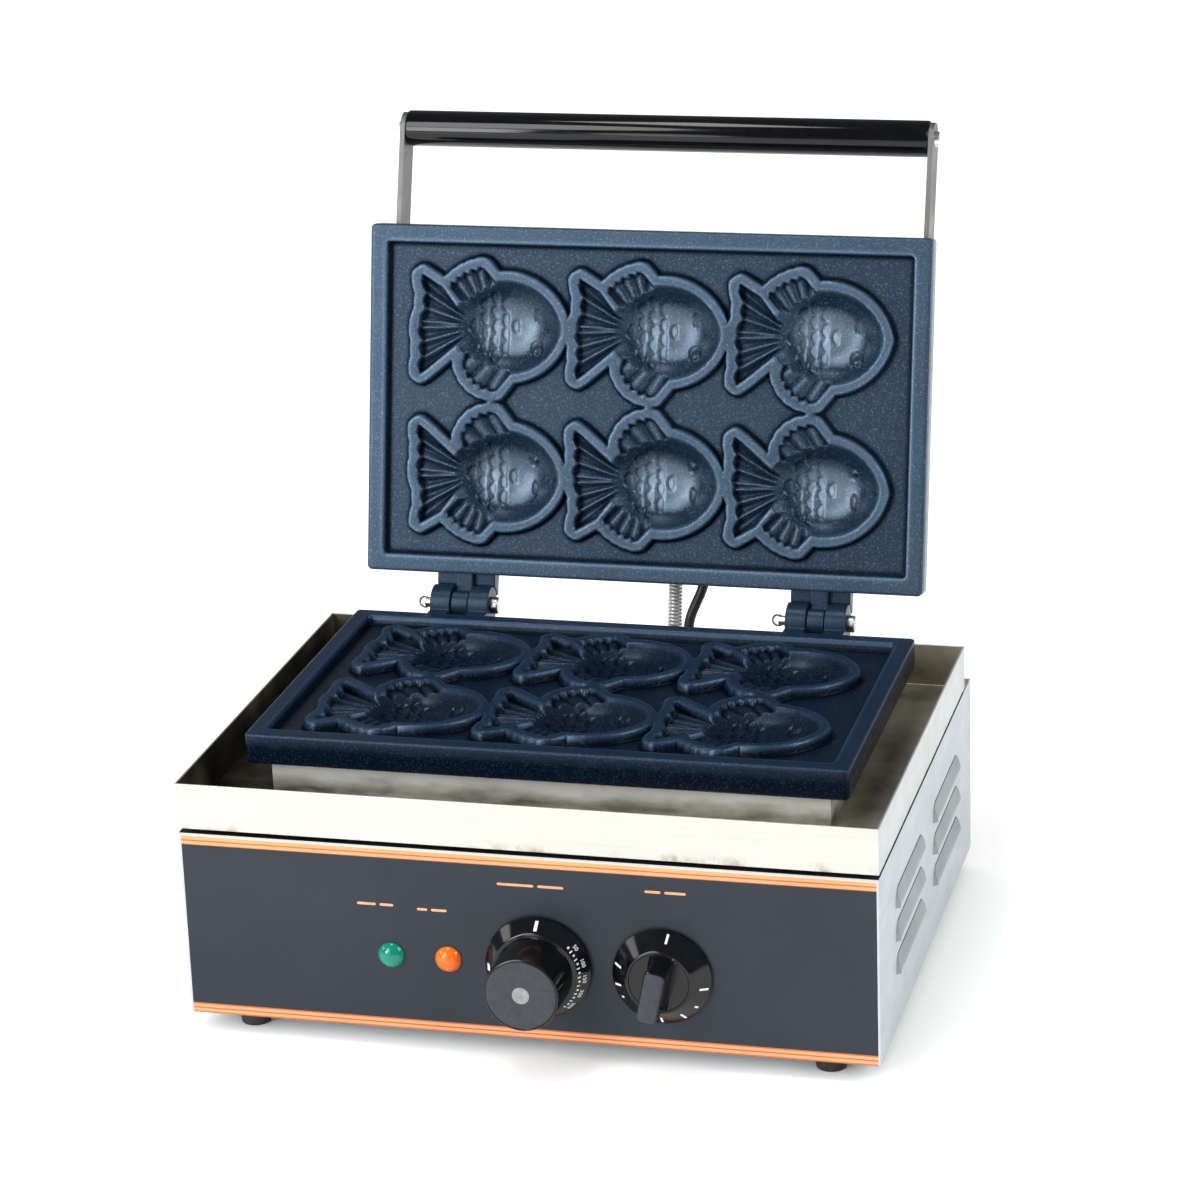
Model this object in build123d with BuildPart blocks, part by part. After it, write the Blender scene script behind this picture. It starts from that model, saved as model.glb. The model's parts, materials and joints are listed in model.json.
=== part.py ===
from build123d import *
from math import atan2, cos, degrees, pi, radians, sin, sqrt
import os

# Countertop taiyaki maker with a hinged upper mould plate, standing open.
# Millimetres. X runs to the right, Y to the back and Z up. The origin lies on the table, under the
# middle of the housing. Lid pieces are drawn closed and then turned back about the hinge axis.

# ---- driving dimensions ----
# housing and feet
body_width = 400
body_depth = 312
body_height = 111
sheet = 1.2
panel_thick = 1.2
deck_height = 3
deck_inset = 30
flange_width = 40
deck_corner = 6
foot_height = 12
foot_radius = 9.5
foot_draft = 1
foot_recess_radius = 4.75
foot_recess_height = 4
foot_inset_x = 31.5
foot_inset_y = 20
foot_screw_radius = 2.4
foot_screw_head = 2
foot_screw_spare = 2.4
# louvres
louvre_length = 89
louvre_height = 12
louvre_depth = 2.6
louvre_lip = 2
louvre_end_slope = 40
louvre_wall = 0.9
louvre_corner = 8
louvre_pitch = 20
louvre_centre_y = 62
louvre_middle_height = 58
# drip tray
tray_back_inset = 24
tray_height = 27
tray_overhang_x = 0.5
tray_overhang_y = 1
# mould plates
plate_width = 350
plate_depth = 215
plate_back_inset = 49
lower_plate_thick = 18.3
upper_plate_thick = 17.8
plate_corner = 3
parting_gap = 0.3
rim_width = 10
recess_depth = 6
ridge_width = 6.8
fin_depth = 5.6
belly_depth = 12
belly_half_width = 29
belly_start = -22
fish_nose = 49
fish_pitch = 100
fish_shift = -1.5
fish_row_offset = 46
# boxes, pads and elements behind the plates
heater_box_height = 20.2
heater_box_inset_x = 12
heater_box_inset_y = 10
lid_cover_height = 30
lid_cover_width = 329.6
lid_cover_inset = 14
lid_cover_round = 3
element_radius = 4
element_sides = 8
element_leg_x = 7
element_span_x = 120
element_span_y = 55
element_bend = 14
rest_gap = 0.2
pad_gap = 1.2
bulb_radius = 3
bulb_start_x = 23
bulb_length = 70
wiring_hole_radius = 10
grommet_wall = 2.2
grommet_height = 4.8
# hinge
hinge_offset = 18.5
hinge_centre_x = 112
hinge_span = 37
lug_width = 11
lug_clearance = 0.3
knuckle_radius = 11.5
knuckle_toe = 4
lug_radius = 10
lug_neck = 8
lug_step = 3
lug_block_reach = 5.5
hinge_root = 3.3
hinge_root_step = 1
parting_relief = 0.5
pin_radius = 3
pin_clearance = 0.05
pin_tail = 5.5
pin_head_radius = 5.2
pin_head_thick = 4.5
pin_head_round = 1.2
ring_radius = 3.4
ring_wire_radius = 0.7
ring_clearance = 0.15
ring_sides = 6
lid_open_angle = 102.4
# handle
grip_radius = 11.2
grip_reach = 58.5
grip_rise = 45.2
rod_radius = 4
rod_clearance = 0.1
arm_thick = 3
arm_width = 20
arm_end_inset = 68
arm_bolt_pitch = 36
screw_radius = 2.5
screw_head_radius = 5
screw_head_thick = 2.6
screw_head_draft = 15
screw_length = 8
screw_end_gap = 6
screw_clearance = 0.1
# controls
control_height = 45.2
green_lamp_x = -78
orange_lamp_x = -44.6
lens_radius = 7.5
lens_height = 5.5
lens_rim = 1
lens_stem_radius = 5.5
lamp_body_radius = 7
lamp_body_length = 24
temperature_x = 8
temperature_skirt_radius = 30.5
temperature_skirt_height = 11
temperature_hub_radius = 21.5
temperature_height = 40
timer_x = 78.6
timer_skirt_radius = 28.2
timer_skirt_height = 11
timer_face_radius = 18.5
timer_height = 22
timer_bar_width = 12
timer_bar_tilt = 12
timer_bar_draft = 4
knob_gap = 0.4
skirt_edge = 3
hub_round = 1.5
bush_radius = 5
bush_length = 4.5
bush_clearance = 0.1
bush_room = 5
shaft_radius = 3
shaft_clearance = 0.05
shaft_depth = 12
shaft_cover = 6.6
switch_width = 44
switch_height = 40
switch_depth = 30
switch_corner = 3
# leads between the housing and the lid
conduit_x = 16.7
conduit_radius = 4.65
conduit_wire = 2
conduit_pitch = 2.8
core_radius = 2.2
lead_radius = 3.2
lead_x = 25.7
lead_top_x = 35
lead_bend_low = 31
lead_bend_high = 55
lead_bend_radius = 25
gland_height = 3
gland_boss = 4
gland_collar = 0.6
gland_depth = 15
gland_rim = 4
cover_gland_height = 9
# mains inlet
inlet_inset = 70
inlet_height = 33
inlet_radius = 8
inlet_spigot = 4.8
inlet_nut_radius = 12
inlet_length = 16
terminal_y = 78
terminal_width = 50
terminal_depth = 24
terminal_height = 22
terminal_hole_radius = 3.1
terminal_hole_depth = 11

# ---- levels and places that follow ----
half_width = body_width / 2
front_y = -body_depth / 2
back_y = body_depth / 2
body_top = foot_height + body_height
floor_z = foot_height + 2 * sheet
deck_front_y = front_y + deck_inset
tray_bottom = body_top + deck_height
tray_front_y = front_y - tray_overhang_y
tray_back_y = back_y - tray_back_inset
tray_depth = tray_back_y - tray_front_y
deck_back_y = tray_back_y - deck_inset / 2
box_bottom = tray_bottom + sheet
plate_bottom = box_bottom + heater_box_height
parting_z = plate_bottom + lower_plate_thick
plate_back_y = back_y - plate_back_inset
plate_front_y = plate_back_y - plate_depth
plate_y = (plate_front_y + plate_back_y) / 2
hinge_y = plate_back_y + hinge_offset
lid_face_z = parting_z + parting_gap
lid_back_z = lid_face_z + upper_plate_thick
cover_front_y = plate_front_y + lid_cover_inset
cover_back_y = plate_back_y - lid_cover_inset
cover_half = lid_cover_width / 2
grip_y = plate_front_y - grip_reach
grip_z = parting_z + grip_rise
arm_end_y = plate_front_y + arm_end_inset
arm_end_z = lid_back_z + lid_cover_height / 2
control_z = foot_height + control_height
panel_back_y = front_y + panel_thick
wall_back_y = panel_back_y + sheet
inlet_x = inlet_inset - half_width
inlet_z = foot_height + inlet_height
belly_middle = (belly_start + fish_nose) / 2
foot_places = [(x, y) for x in (foot_inset_x - half_width, half_width - foot_inset_x)
               for y in (front_y + foot_inset_y, back_y - foot_inset_y)]
hinge_axis = Axis((0, hinge_y, parting_z), (1, 0, 0))
fish_columns = [fish_shift + fish_pitch * step for step in (-1, 0, 1)]
fish_rows = [(plate_y - fish_row_offset, 1), (plate_y + fish_row_offset, -1)]
fish_places = [(x, y) for y, side in fish_rows for x in fish_columns]

os.makedirs("parts", exist_ok=True)


def save(part, name):
    part.label = name
    export_step(part, f"parts/{name}.step")


def save_lid(part, name):
    """Writes a piece that was drawn closed in the open rest position."""
    save(part.rotate(hinge_axis, -lid_open_angle), name)


# ---- fish mould shapes, shared by both plates ----
def fins_outline(side):
    """Tail and fins of one fish, nose to +X. side is +1 or -1: where the tall fin stands."""
    with BuildSketch() as fins:
        with BuildLine():
            Polyline((0, 3 * side), (-17.7, 12.3 * side), (-46, 31 * side))
            ThreePointArc((-46, 31 * side), (-46.8, 14 * side), (-43.5, 0))
            ThreePointArc((-43.5, 0), (-47.6, -16 * side), (-44, -33 * side))
            Polyline((-44, -33 * side), (-27, -25 * side), (-16, -10.5 * side), (0, 3 * side))
        make_face()
        with BuildLine():
            Line((-13, 5 * side), (-16.5, 24 * side))
            ThreePointArc((-16.5, 24 * side), (-6, 36 * side), (7.5, 41 * side))
            Polyline((7.5, 41 * side), (17.5, 28 * side), (-13, 5 * side))
        make_face()
        with BuildLine():
            Line((-10, -5 * side), (-24.5, -26 * side))
            ThreePointArc((-24.5, -26 * side), (-13, -34.6 * side), (-1, -38 * side))
            Polyline((-1, -38 * side), (7, -27 * side), (-10, -5 * side))
        make_face()
    return fins.sketch


def fish_outline(side):
    """Plan of one whole fish at the parting plane."""
    with BuildSketch() as fish:
        add(fins_outline(side))
        with BuildLine():
            ThreePointArc((belly_start, 0), (belly_middle, belly_half_width), (fish_nose, 0))
            ThreePointArc((fish_nose, 0), (belly_middle, -belly_half_width), (belly_start, 0))
        make_face()
    return fish.sketch


def ridge_outline(side):
    """The lip round one fish, filled inside."""
    with BuildSketch() as lip:
        add(fish_outline(side))
        offset(amount=ridge_width, kind=Kind.ARC)
    return lip.sketch


def six(outline):
    """Sets a plan shape at the six fish places, both tall fins to the plate's middle line."""
    with BuildSketch() as plan:
        for row_y, side in fish_rows:
            for column_x in fish_columns:
                with Locations((column_x, row_y)):
                    add(outline(side))
    return plan.sketch


belly_radius = (belly_half_width**2 + belly_depth**2) / (2 * belly_depth)
belly_axis = belly_radius - belly_depth


def belly(up):
    """Spindle that cuts one domed belly; its axis lies above the parting plane if up is 1, else below."""
    with BuildPart() as spindle:
        with BuildSketch(Plane.XZ):
            with BuildLine():
                ThreePointArc((belly_start, 0), (belly_middle, -belly_depth * up), (fish_nose, 0))
                Polyline((fish_nose, 0), (fish_nose, belly_axis * up), (belly_start, belly_axis * up),
                         (belly_start, 0))
            make_face()
        revolve(axis=Axis((0, 0, belly_axis * up), (1, 0, 0)))
    return spindle.part


def mould_plate(face_z, back_z):
    """Cast plate between two levels, with its six fish sunk into the side at face_z."""
    inward = 1 if back_z > face_z else -1
    with BuildPart() as plate:
        with BuildSketch(Plane.XY.offset(face_z)):
            with Locations((0, plate_y)):
                RectangleRounded(plate_width, plate_depth, plate_corner)
        extrude(amount=back_z - face_z)
        with BuildSketch(Plane.XY.offset(face_z)):
            with Locations((0, plate_y)):
                Rectangle(plate_width - 2 * rim_width, plate_depth - 2 * rim_width)
            add(six(ridge_outline), mode=Mode.SUBTRACT)
        extrude(amount=recess_depth * inward, mode=Mode.SUBTRACT)
        with BuildSketch(Plane.XY.offset(face_z)):
            add(six(fins_outline))
        extrude(amount=fin_depth * inward, mode=Mode.SUBTRACT)
        with Locations(*[(x, y, face_z) for x, y in fish_places]):
            add(belly(-inward), mode=Mode.SUBTRACT)
    return plate.part


def heating_element(level):
    """Bent tubular element lying flat, both ends by the wiring hole."""
    leg = element_leg_x
    end = element_span_x
    near = plate_y + element_span_y
    far = plate_y - element_span_y
    with BuildPart() as element:
        with BuildLine():
            FilletPolyline((-leg, plate_y, level), (-leg, far, level), (-end, far, level),
                           (-end, near, level), (end, near, level), (end, far, level),
                           (leg, far, level), (leg, plate_y, level), radius=element_bend)
        with BuildSketch(Plane(origin=(-leg, plate_y, level), z_dir=(0, -1, 0))):
            RegularPolygon(element_radius, element_sides)
        sweep()
    return element.part


def folded_box(width, depth, height, low_z, middle_y, open_top):
    """Thin sheet box with one open side."""
    with BuildPart() as box:
        with BuildSketch(Plane.XY.offset(low_z)):
            with Locations((0, middle_y)):
                Rectangle(width, depth)
        extrude(amount=height)
        with BuildSketch(Plane.XY.offset(low_z + (sheet if open_top else 0))):
            with Locations((0, middle_y)):
                Rectangle(width - 2 * sheet, depth - 2 * sheet)
        extrude(amount=height - sheet, mode=Mode.SUBTRACT)
    return box.part


def facing(y):
    """Plane square to Y that looks out at the user: local x is X, local y is Z."""
    return Plane.XZ.offset(-y)


def lid_point(y, z):
    """Where a point of the closed lid's side view lies when the lid stands open."""
    turn = radians(-lid_open_angle)
    dy = y - hinge_y
    dz = z - parting_z
    return hinge_y + dy * cos(turn) - dz * sin(turn), parting_z + dy * sin(turn) + dz * cos(turn)


# ---- where the leads run: straight up from the housing's back edge, square to the open lid ----
lean = radians(lid_open_angle - 90)
leads_top_y, leads_top_z = lid_point(cover_back_y, lid_back_z + cover_gland_height)
leads_length = (leads_top_z - body_top) / cos(lean)
leads_y = leads_top_y - leads_length * sin(lean)
leads_plane = Plane(origin=(0, leads_y, body_top), x_dir=(1, 0, 0), z_dir=(0, -cos(lean), sin(lean)))
leads_start = Plane(origin=(0, leads_y, body_top), x_dir=(1, 0, 0), z_dir=(0, sin(lean), cos(lean)))
gland_left = conduit_x - conduit_radius - gland_rim
gland_right = lead_x + lead_radius + gland_rim
gland_x = (gland_left + gland_right) / 2
gland_width = gland_right - gland_left
cover_gland_right = lead_top_x + lead_radius + gland_rim
cover_gland_x = (gland_left + cover_gland_right) / 2
cover_gland_width = cover_gland_right - gland_left


# ---- housing ----
louvre_places = []
for hand, turn in ((1, 0), (-1, 180)):
    for middle_y in (-louvre_centre_y, louvre_centre_y):
        for step in (-1, 0, 1):
            low = foot_height + louvre_middle_height + step * louvre_pitch - louvre_height / 2
            louvre_places.append(Location((hand * half_width, middle_y, low), (0, 0, turn)))


def louvre(inset):
    """Hood pressed out of the right side, open below, with its low edge at z 0; inset gives its hollow."""
    crest = louvre_depth - inset
    with BuildPart() as hood:
        with BuildSketch(Plane.XZ):
            Polygon((-sheet, 0), (crest, 0), (crest, louvre_lip - inset), (0, louvre_height - 2 * inset),
                    (-sheet, louvre_height - 2 * inset), align=None)
        extrude(amount=louvre_length / 2, both=True)
        with BuildSketch(Plane.YZ.offset(-sheet)) as face:
            Rectangle(louvre_length - 2 * inset, 2 * louvre_height)
            fillet(face.vertices().group_by(Axis.Z)[-1], louvre_corner)
        extrude(amount=sheet + louvre_depth, taper=louvre_end_slope, mode=Mode.INTERSECT)
    return hood.part


panel_holes = [(temperature_x, bush_radius), (timer_x, bush_radius),
               (green_lamp_x, lens_stem_radius), (orange_lamp_x, lens_stem_radius)]
gland_hole_depth = gland_depth - gland_rim

with BuildPart() as base_housing:
    with BuildSketch(Plane.XY.offset(foot_height)):
        Rectangle(body_width, body_depth)
    extrude(amount=body_height)
    with BuildSketch(Plane.XY.offset(body_top)):
        with Locations((0, (deck_front_y + deck_back_y) / 2)):
            RectangleRounded(body_width - 2 * deck_inset, deck_back_y - deck_front_y, deck_corner)
    extrude(amount=deck_height)
    with BuildSketch(Plane.XY.offset(foot_height + sheet)):
        with Locations((0, (wall_back_y + back_y - sheet) / 2)):
            Rectangle(body_width - 2 * sheet, back_y - sheet - wall_back_y)
    extrude(amount=body_height - 2 * sheet, mode=Mode.SUBTRACT)
    with BuildSketch(Plane.XY.offset(foot_height)):
        Rectangle(body_width - 2 * flange_width, body_depth - 2 * flange_width)
        with Locations(*foot_places):
            Circle(foot_screw_radius + screw_clearance)
    extrude(amount=sheet, mode=Mode.SUBTRACT)
    # recess for the control panel, and the holes behind it
    with BuildSketch(facing(panel_back_y)):
        with Locations((0, foot_height + (body_height - sheet) / 2)):
            Rectangle(body_width - 2 * sheet, body_height - sheet)
    extrude(amount=panel_thick, mode=Mode.SUBTRACT)
    with BuildSketch(facing(wall_back_y)):
        for hole_x, hole_radius in panel_holes:
            with Locations((hole_x, control_z)):
                Circle(hole_radius + bush_clearance)
    extrude(amount=sheet, mode=Mode.SUBTRACT)
    with Locations(*louvre_places):
        add(louvre(0))
        add(louvre(louvre_wall), mode=Mode.SUBTRACT)
    # wiring hole in the deck, gland slot behind the tray, inlet hole at the back
    with BuildSketch(Plane.XY.offset(body_top - sheet)):
        with Locations((0, plate_y)):
            Circle(wiring_hole_radius)
        with Locations((gland_x, leads_y)):
            Rectangle(gland_width - gland_rim, gland_hole_depth)
    extrude(amount=deck_height + sheet, mode=Mode.SUBTRACT)
    with BuildSketch(facing(back_y)):
        with Locations((inlet_x, inlet_z)):
            Circle(inlet_radius)
    extrude(amount=sheet, mode=Mode.SUBTRACT)
save(base_housing.part, "base_housing")

with BuildPart() as bottom_plate:
    with BuildSketch(Plane.XY.offset(foot_height + sheet)):
        with Locations((0, (wall_back_y + back_y - sheet) / 2)):
            Rectangle(body_width - 2 * sheet - 2 * rest_gap, back_y - sheet - wall_back_y - 2 * rest_gap)
        with Locations(*foot_places):
            Circle(foot_screw_radius + screw_clearance, mode=Mode.SUBTRACT)
    extrude(amount=sheet)
save(bottom_plate.part, "bottom_plate")

with BuildPart() as control_panel:
    with BuildSketch(facing(panel_back_y)):
        with Locations((0, foot_height + (body_height - sheet) / 2)):
            Rectangle(body_width - 2 * sheet, body_height - sheet)
        for hole_x, hole_radius in panel_holes:
            with Locations((hole_x, control_z)):
                Circle(hole_radius + bush_clearance, mode=Mode.SUBTRACT)
    extrude(amount=panel_thick)
save(control_panel.part, "control_panel")

# ---- feet ----
for foot_x, foot_y in foot_places:
    side_word = "left" if foot_x < 0 else "right"
    end_word = "front" if foot_y < 0 else "back"
    with BuildPart() as foot:
        with BuildSketch():
            with Locations((foot_x, foot_y)):
                Circle(foot_radius - foot_draft)
        with BuildSketch(Plane.XY.offset(foot_height)):
            with Locations((foot_x, foot_y)):
                Circle(foot_radius)
        loft()
        with BuildSketch():
            with Locations((foot_x, foot_y)):
                Circle(foot_recess_radius)
        extrude(amount=foot_recess_height, mode=Mode.SUBTRACT)
        with BuildSketch():
            with Locations((foot_x, foot_y)):
                Circle(foot_screw_radius + screw_clearance)
        extrude(amount=foot_height, mode=Mode.SUBTRACT)
    save(foot.part, f"foot_{end_word}_{side_word}")

with BuildPart() as foot_screws:
    with BuildSketch(Plane.XY.offset(foot_recess_height)):
        with Locations(*foot_places):
            Circle(foot_screw_radius)
    extrude(amount=floor_z - foot_recess_height + foot_screw_spare)
    with BuildSketch(Plane.XY.offset(foot_recess_height)):
        with Locations(*foot_places):
            Circle(foot_recess_radius - screw_clearance)
    extrude(amount=-foot_screw_head)
save(foot_screws.part, "foot_screws")

# ---- tray, lower heater box and what it holds ----
with BuildPart() as drip_tray:
    add(folded_box(body_width + 2 * tray_overhang_x, tray_depth, tray_height, tray_bottom,
                   (tray_front_y + tray_back_y) / 2, True))
    with BuildSketch(Plane.XY.offset(tray_bottom)):
        with Locations((0, plate_y)):
            Circle(wiring_hole_radius)
    extrude(amount=sheet, mode=Mode.SUBTRACT)
save(drip_tray.part, "drip_tray")

box_width = plate_width - 2 * heater_box_inset_x
box_depth = plate_depth - 2 * heater_box_inset_y
with BuildPart() as lower_heater_box:
    add(folded_box(box_width, box_depth, heater_box_height, box_bottom, plate_y, True))
    with BuildSketch(Plane.XY.offset(box_bottom)):
        with Locations((0, plate_y)):
            Circle(wiring_hole_radius)
    extrude(amount=sheet, mode=Mode.SUBTRACT)
save(lower_heater_box.part, "lower_heater_box")

element_room = 2 * element_radius + 2 * rest_gap
with BuildPart() as lower_insulation_pad:
    with BuildSketch(Plane.XY.offset(box_bottom + sheet)):
        with Locations((0, plate_y)):
            Rectangle(box_width - 2 * (sheet + pad_gap), box_depth - 2 * (sheet + pad_gap))
            Circle(wiring_hole_radius, mode=Mode.SUBTRACT)
    extrude(amount=heater_box_height - sheet - element_room)
save(lower_insulation_pad.part, "lower_insulation_pad")
save(heating_element(plate_bottom - rest_gap - element_radius), "lower_heating_element")

bulb_z = plate_bottom - rest_gap - bulb_radius
with BuildPart() as thermostat_bulb:
    with BuildSketch(Plane.YZ.offset(bulb_start_x)):
        with Locations((plate_y, bulb_z)):
            Circle(bulb_radius)
    extrude(amount=bulb_length)
save(thermostat_bulb.part, "thermostat_bulb")

with BuildPart() as wiring_grommet:
    with BuildSketch(Plane.XY.offset(body_top + deck_height - sheet)):
        with Locations((0, plate_y)):
            Circle(wiring_hole_radius - rest_gap)
            Circle(wiring_hole_radius - rest_gap - grommet_wall, mode=Mode.SUBTRACT)
    extrude(amount=grommet_height)
save(wiring_grommet.part, "wiring_grommet")

# ---- lower mould plate with the outer hinge knuckles ----
knuckle_width = (hinge_span - lug_width) / 2 - lug_clearance
bore_radius = pin_radius + pin_clearance
root_y = plate_back_y - hinge_root
root_z = plate_bottom + hinge_root_step
knuckle_z = parting_z - knuckle_radius
with BuildPart() as lower_mould_plate:
    add(mould_plate(parting_z, plate_bottom))
    for hinge_x in (-hinge_centre_x, hinge_centre_x):
        for knuckle_x in (hinge_x - hinge_span / 2, hinge_x + hinge_span / 2 - knuckle_width):
            with BuildSketch(Plane.YZ.offset(knuckle_x)):
                with Locations((hinge_y, parting_z)):
                    Circle(knuckle_radius)
                Polygon((root_y, root_z), (root_y, parting_z - parting_relief),
                        (hinge_y, parting_z - parting_relief), (hinge_y, knuckle_z),
                        (hinge_y - knuckle_toe, knuckle_z), (plate_back_y, root_z), align=None)
                with Locations((hinge_y, parting_z)):
                    Circle(bore_radius, mode=Mode.SUBTRACT)
            extrude(amount=knuckle_width)
save(lower_mould_plate.part, "lower_mould_plate")

# ---- hinge pins: headed on the right, held by a split ring through the left end ----
ring_planes = [Plane(origin=(hinge_x - hinge_span / 2 - pin_tail / 2 - ring_radius, hinge_y, parting_z),
                     z_dir=(0, 1, 0)) for hinge_x in (-hinge_centre_x, hinge_centre_x)]


def rings(wire_radius):
    """A closed ring of faceted wire at each pin's left end."""
    with BuildPart() as pair:
        for ring_plane in ring_planes:
            with BuildSketch(Plane(origin=ring_plane.origin, x_dir=(1, 0, 0), z_dir=(0, 0, 1))):
                with Locations((ring_radius, 0)):
                    RegularPolygon(wire_radius, ring_sides)
            revolve(axis=Axis(ring_plane.origin, (0, 1, 0)))
    return pair.part


save(rings(ring_wire_radius), "split_rings")
ring_room = rings(ring_wire_radius + ring_clearance)

for hinge_x, word in ((-hinge_centre_x, "left"), (hinge_centre_x, "right")):
    tail_x = hinge_x - hinge_span / 2 - pin_tail
    head_x = hinge_x + hinge_span / 2 + rest_gap
    with BuildPart() as hinge_pin:
        with BuildSketch(Plane.YZ.offset(tail_x)):
            with Locations((hinge_y, parting_z)):
                Circle(pin_radius)
        extrude(amount=head_x - tail_x)
        with BuildSketch(Plane.YZ.offset(head_x)):
            with Locations((hinge_y, parting_z)):
                Circle(pin_head_radius)
        extrude(amount=pin_head_thick)
        fillet(hinge_pin.faces().sort_by(Axis.X)[-1].edges(), pin_head_round)
        add(ring_room, mode=Mode.SUBTRACT)
    save(hinge_pin.part, f"hinge_pin_{word}")

# ---- controls behind the panel ----
for name, control_x in (("thermostat", temperature_x), ("timer", timer_x)):
    bush_end_y = front_y - bush_length
    with BuildPart() as switch_body:
        with BuildSketch(facing(wall_back_y + switch_depth)):
            with Locations((control_x, control_z)):
                RectangleRounded(switch_width, switch_height, switch_corner)
        extrude(amount=switch_depth)
        with BuildSketch(facing(wall_back_y)):
            with Locations((control_x, control_z)):
                Circle(bush_radius)
        extrude(amount=wall_back_y - bush_end_y)
        with BuildSketch(facing(wall_back_y + shaft_depth)):
            with Locations((control_x, control_z)):
                Circle(shaft_radius + shaft_clearance)
        extrude(amount=shaft_depth + wall_back_y - bush_end_y, mode=Mode.SUBTRACT)
    save(switch_body.part, f"{name}_switch")

lens_dome = lens_height - lens_rim
lens_curve = (lens_radius**2 + lens_dome**2) / (2 * lens_dome)
for name, lamp_x in (("green", green_lamp_x), ("orange", orange_lamp_x)):
    with BuildPart() as lens:
        with BuildSketch(Plane.XY.offset(control_z)):
            with BuildLine():
                Polyline((lamp_x, wall_back_y), (lamp_x + lens_stem_radius, wall_back_y),
                         (lamp_x + lens_stem_radius, front_y), (lamp_x + lens_radius, front_y),
                         (lamp_x + lens_radius, front_y - lens_rim))
                RadiusArc((lamp_x + lens_radius, front_y - lens_rim), (lamp_x, front_y - lens_height),
                          lens_curve)
                Line((lamp_x, front_y - lens_height), (lamp_x, wall_back_y))
            make_face()
        revolve(axis=Axis((lamp_x, 0, control_z), (0, 1, 0)))
    save(lens.part, f"{name}_lamp_lens")
    with BuildPart() as lamp_body:
        with BuildSketch(facing(wall_back_y + lamp_body_length)):
            with Locations((lamp_x, control_z)):
                Circle(lamp_body_radius)
        extrude(amount=lamp_body_length)
    save(lamp_body.part, f"{name}_lamp_body")

# ---- the two knobs and their shafts ----
knob_back_y = front_y - knob_gap
shaft_start_y = wall_back_y + shaft_depth - rest_gap


def control_shaft(control_x, end_y):
    """Round shaft from inside the switch into the knob."""
    with BuildPart() as shaft:
        with BuildSketch(facing(shaft_start_y)):
            with Locations((control_x, control_z)):
                Circle(shaft_radius)
        extrude(amount=shaft_start_y - end_y)
    return shaft.part


def knob_bore(control_x, end_y):
    """Room in a knob for the switch's bush and for its shaft."""
    with BuildPart() as bore:
        with BuildSketch(facing(knob_back_y)):
            with Locations((control_x, control_z)):
                Circle(2 * bush_radius)
        extrude(amount=bush_room)
        with BuildSketch(facing(knob_back_y)):
            with Locations((control_x, control_z)):
                Circle(shaft_radius + shaft_clearance)
        extrude(amount=knob_back_y - end_y + rest_gap)
    return bore.part


temperature_shaft_y = front_y - temperature_height + shaft_cover
save(control_shaft(temperature_x, temperature_shaft_y), "temperature_shaft")
temperature_top_y = front_y - temperature_height
temperature_shoulder_y = front_y - temperature_skirt_height
skirt_x = temperature_x + temperature_skirt_radius
hub_x = temperature_x + temperature_hub_radius
with BuildPart() as temperature_knob:
    with BuildSketch(Plane.XY.offset(control_z)):
        Polygon((temperature_x, knob_back_y), (skirt_x, knob_back_y), (skirt_x, knob_back_y - skirt_edge),
                (hub_x + hub_round, temperature_shoulder_y), (hub_x, temperature_shoulder_y),
                (hub_x, temperature_top_y + hub_round), (hub_x - hub_round, temperature_top_y),
                (temperature_x, temperature_top_y), align=None)
    revolve(axis=Axis((temperature_x, 0, control_z), (0, 1, 0)))
    add(knob_bore(temperature_x, temperature_shaft_y), mode=Mode.SUBTRACT)
save(temperature_knob.part, "temperature_knob")

timer_shaft_y = front_y - timer_height + shaft_cover
save(control_shaft(timer_x, timer_shaft_y), "timer_shaft")
timer_shoulder_y = front_y - timer_skirt_height
timer_rim_x = timer_x + timer_skirt_radius
with BuildPart() as timer_knob:
    with BuildSketch(Plane.XY.offset(control_z)):
        Polygon((timer_x, knob_back_y), (timer_rim_x, knob_back_y), (timer_rim_x, knob_back_y - skirt_edge),
                (timer_x + timer_face_radius, timer_shoulder_y), (timer_x, timer_shoulder_y), align=None)
    revolve(axis=Axis((timer_x, 0, control_z), (0, 1, 0)))
    with BuildSketch(facing(timer_shoulder_y)):
        with Locations((timer_x, control_z)):
            SlotOverall(2 * timer_face_radius, timer_bar_width, rotation=90 - timer_bar_tilt)
    extrude(amount=timer_height - timer_skirt_height, taper=timer_bar_draft)
    add(knob_bore(timer_x, timer_shaft_y), mode=Mode.SUBTRACT)
save(timer_knob.part, "timer_knob")

# ---- mains inlet and terminals ----
with BuildPart() as mains_inlet:
    with BuildSketch(facing(back_y)):
        with Locations((inlet_x, inlet_z)):
            Circle(inlet_radius - screw_clearance)
    extrude(amount=inlet_spigot)
    with BuildSketch(facing(back_y)):
        with Locations((inlet_x, inlet_z)):
            RegularPolygon(inlet_nut_radius, 6)
    extrude(amount=-inlet_length / 2)
    with BuildSketch(facing(back_y + inlet_length / 2)):
        with Locations((inlet_x, inlet_z)):
            Circle(inlet_radius)
    extrude(amount=-inlet_length / 2)
save(mains_inlet.part, "mains_inlet")

with BuildPart() as terminal_block:
    with BuildSketch(Plane.XY.offset(floor_z)):
        with Locations((inlet_x, terminal_y)):
            Rectangle(terminal_width, terminal_depth)
    extrude(amount=terminal_height)
    with BuildSketch(Plane.XY.offset(floor_z + terminal_height)):
        with Locations((inlet_x, terminal_y)):
            with GridLocations(terminal_width / 4, terminal_depth / 2, 3, 2):
                Circle(terminal_hole_radius)
    extrude(amount=-terminal_hole_depth, mode=Mode.SUBTRACT)
save(terminal_block.part, "terminal_block")

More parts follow.
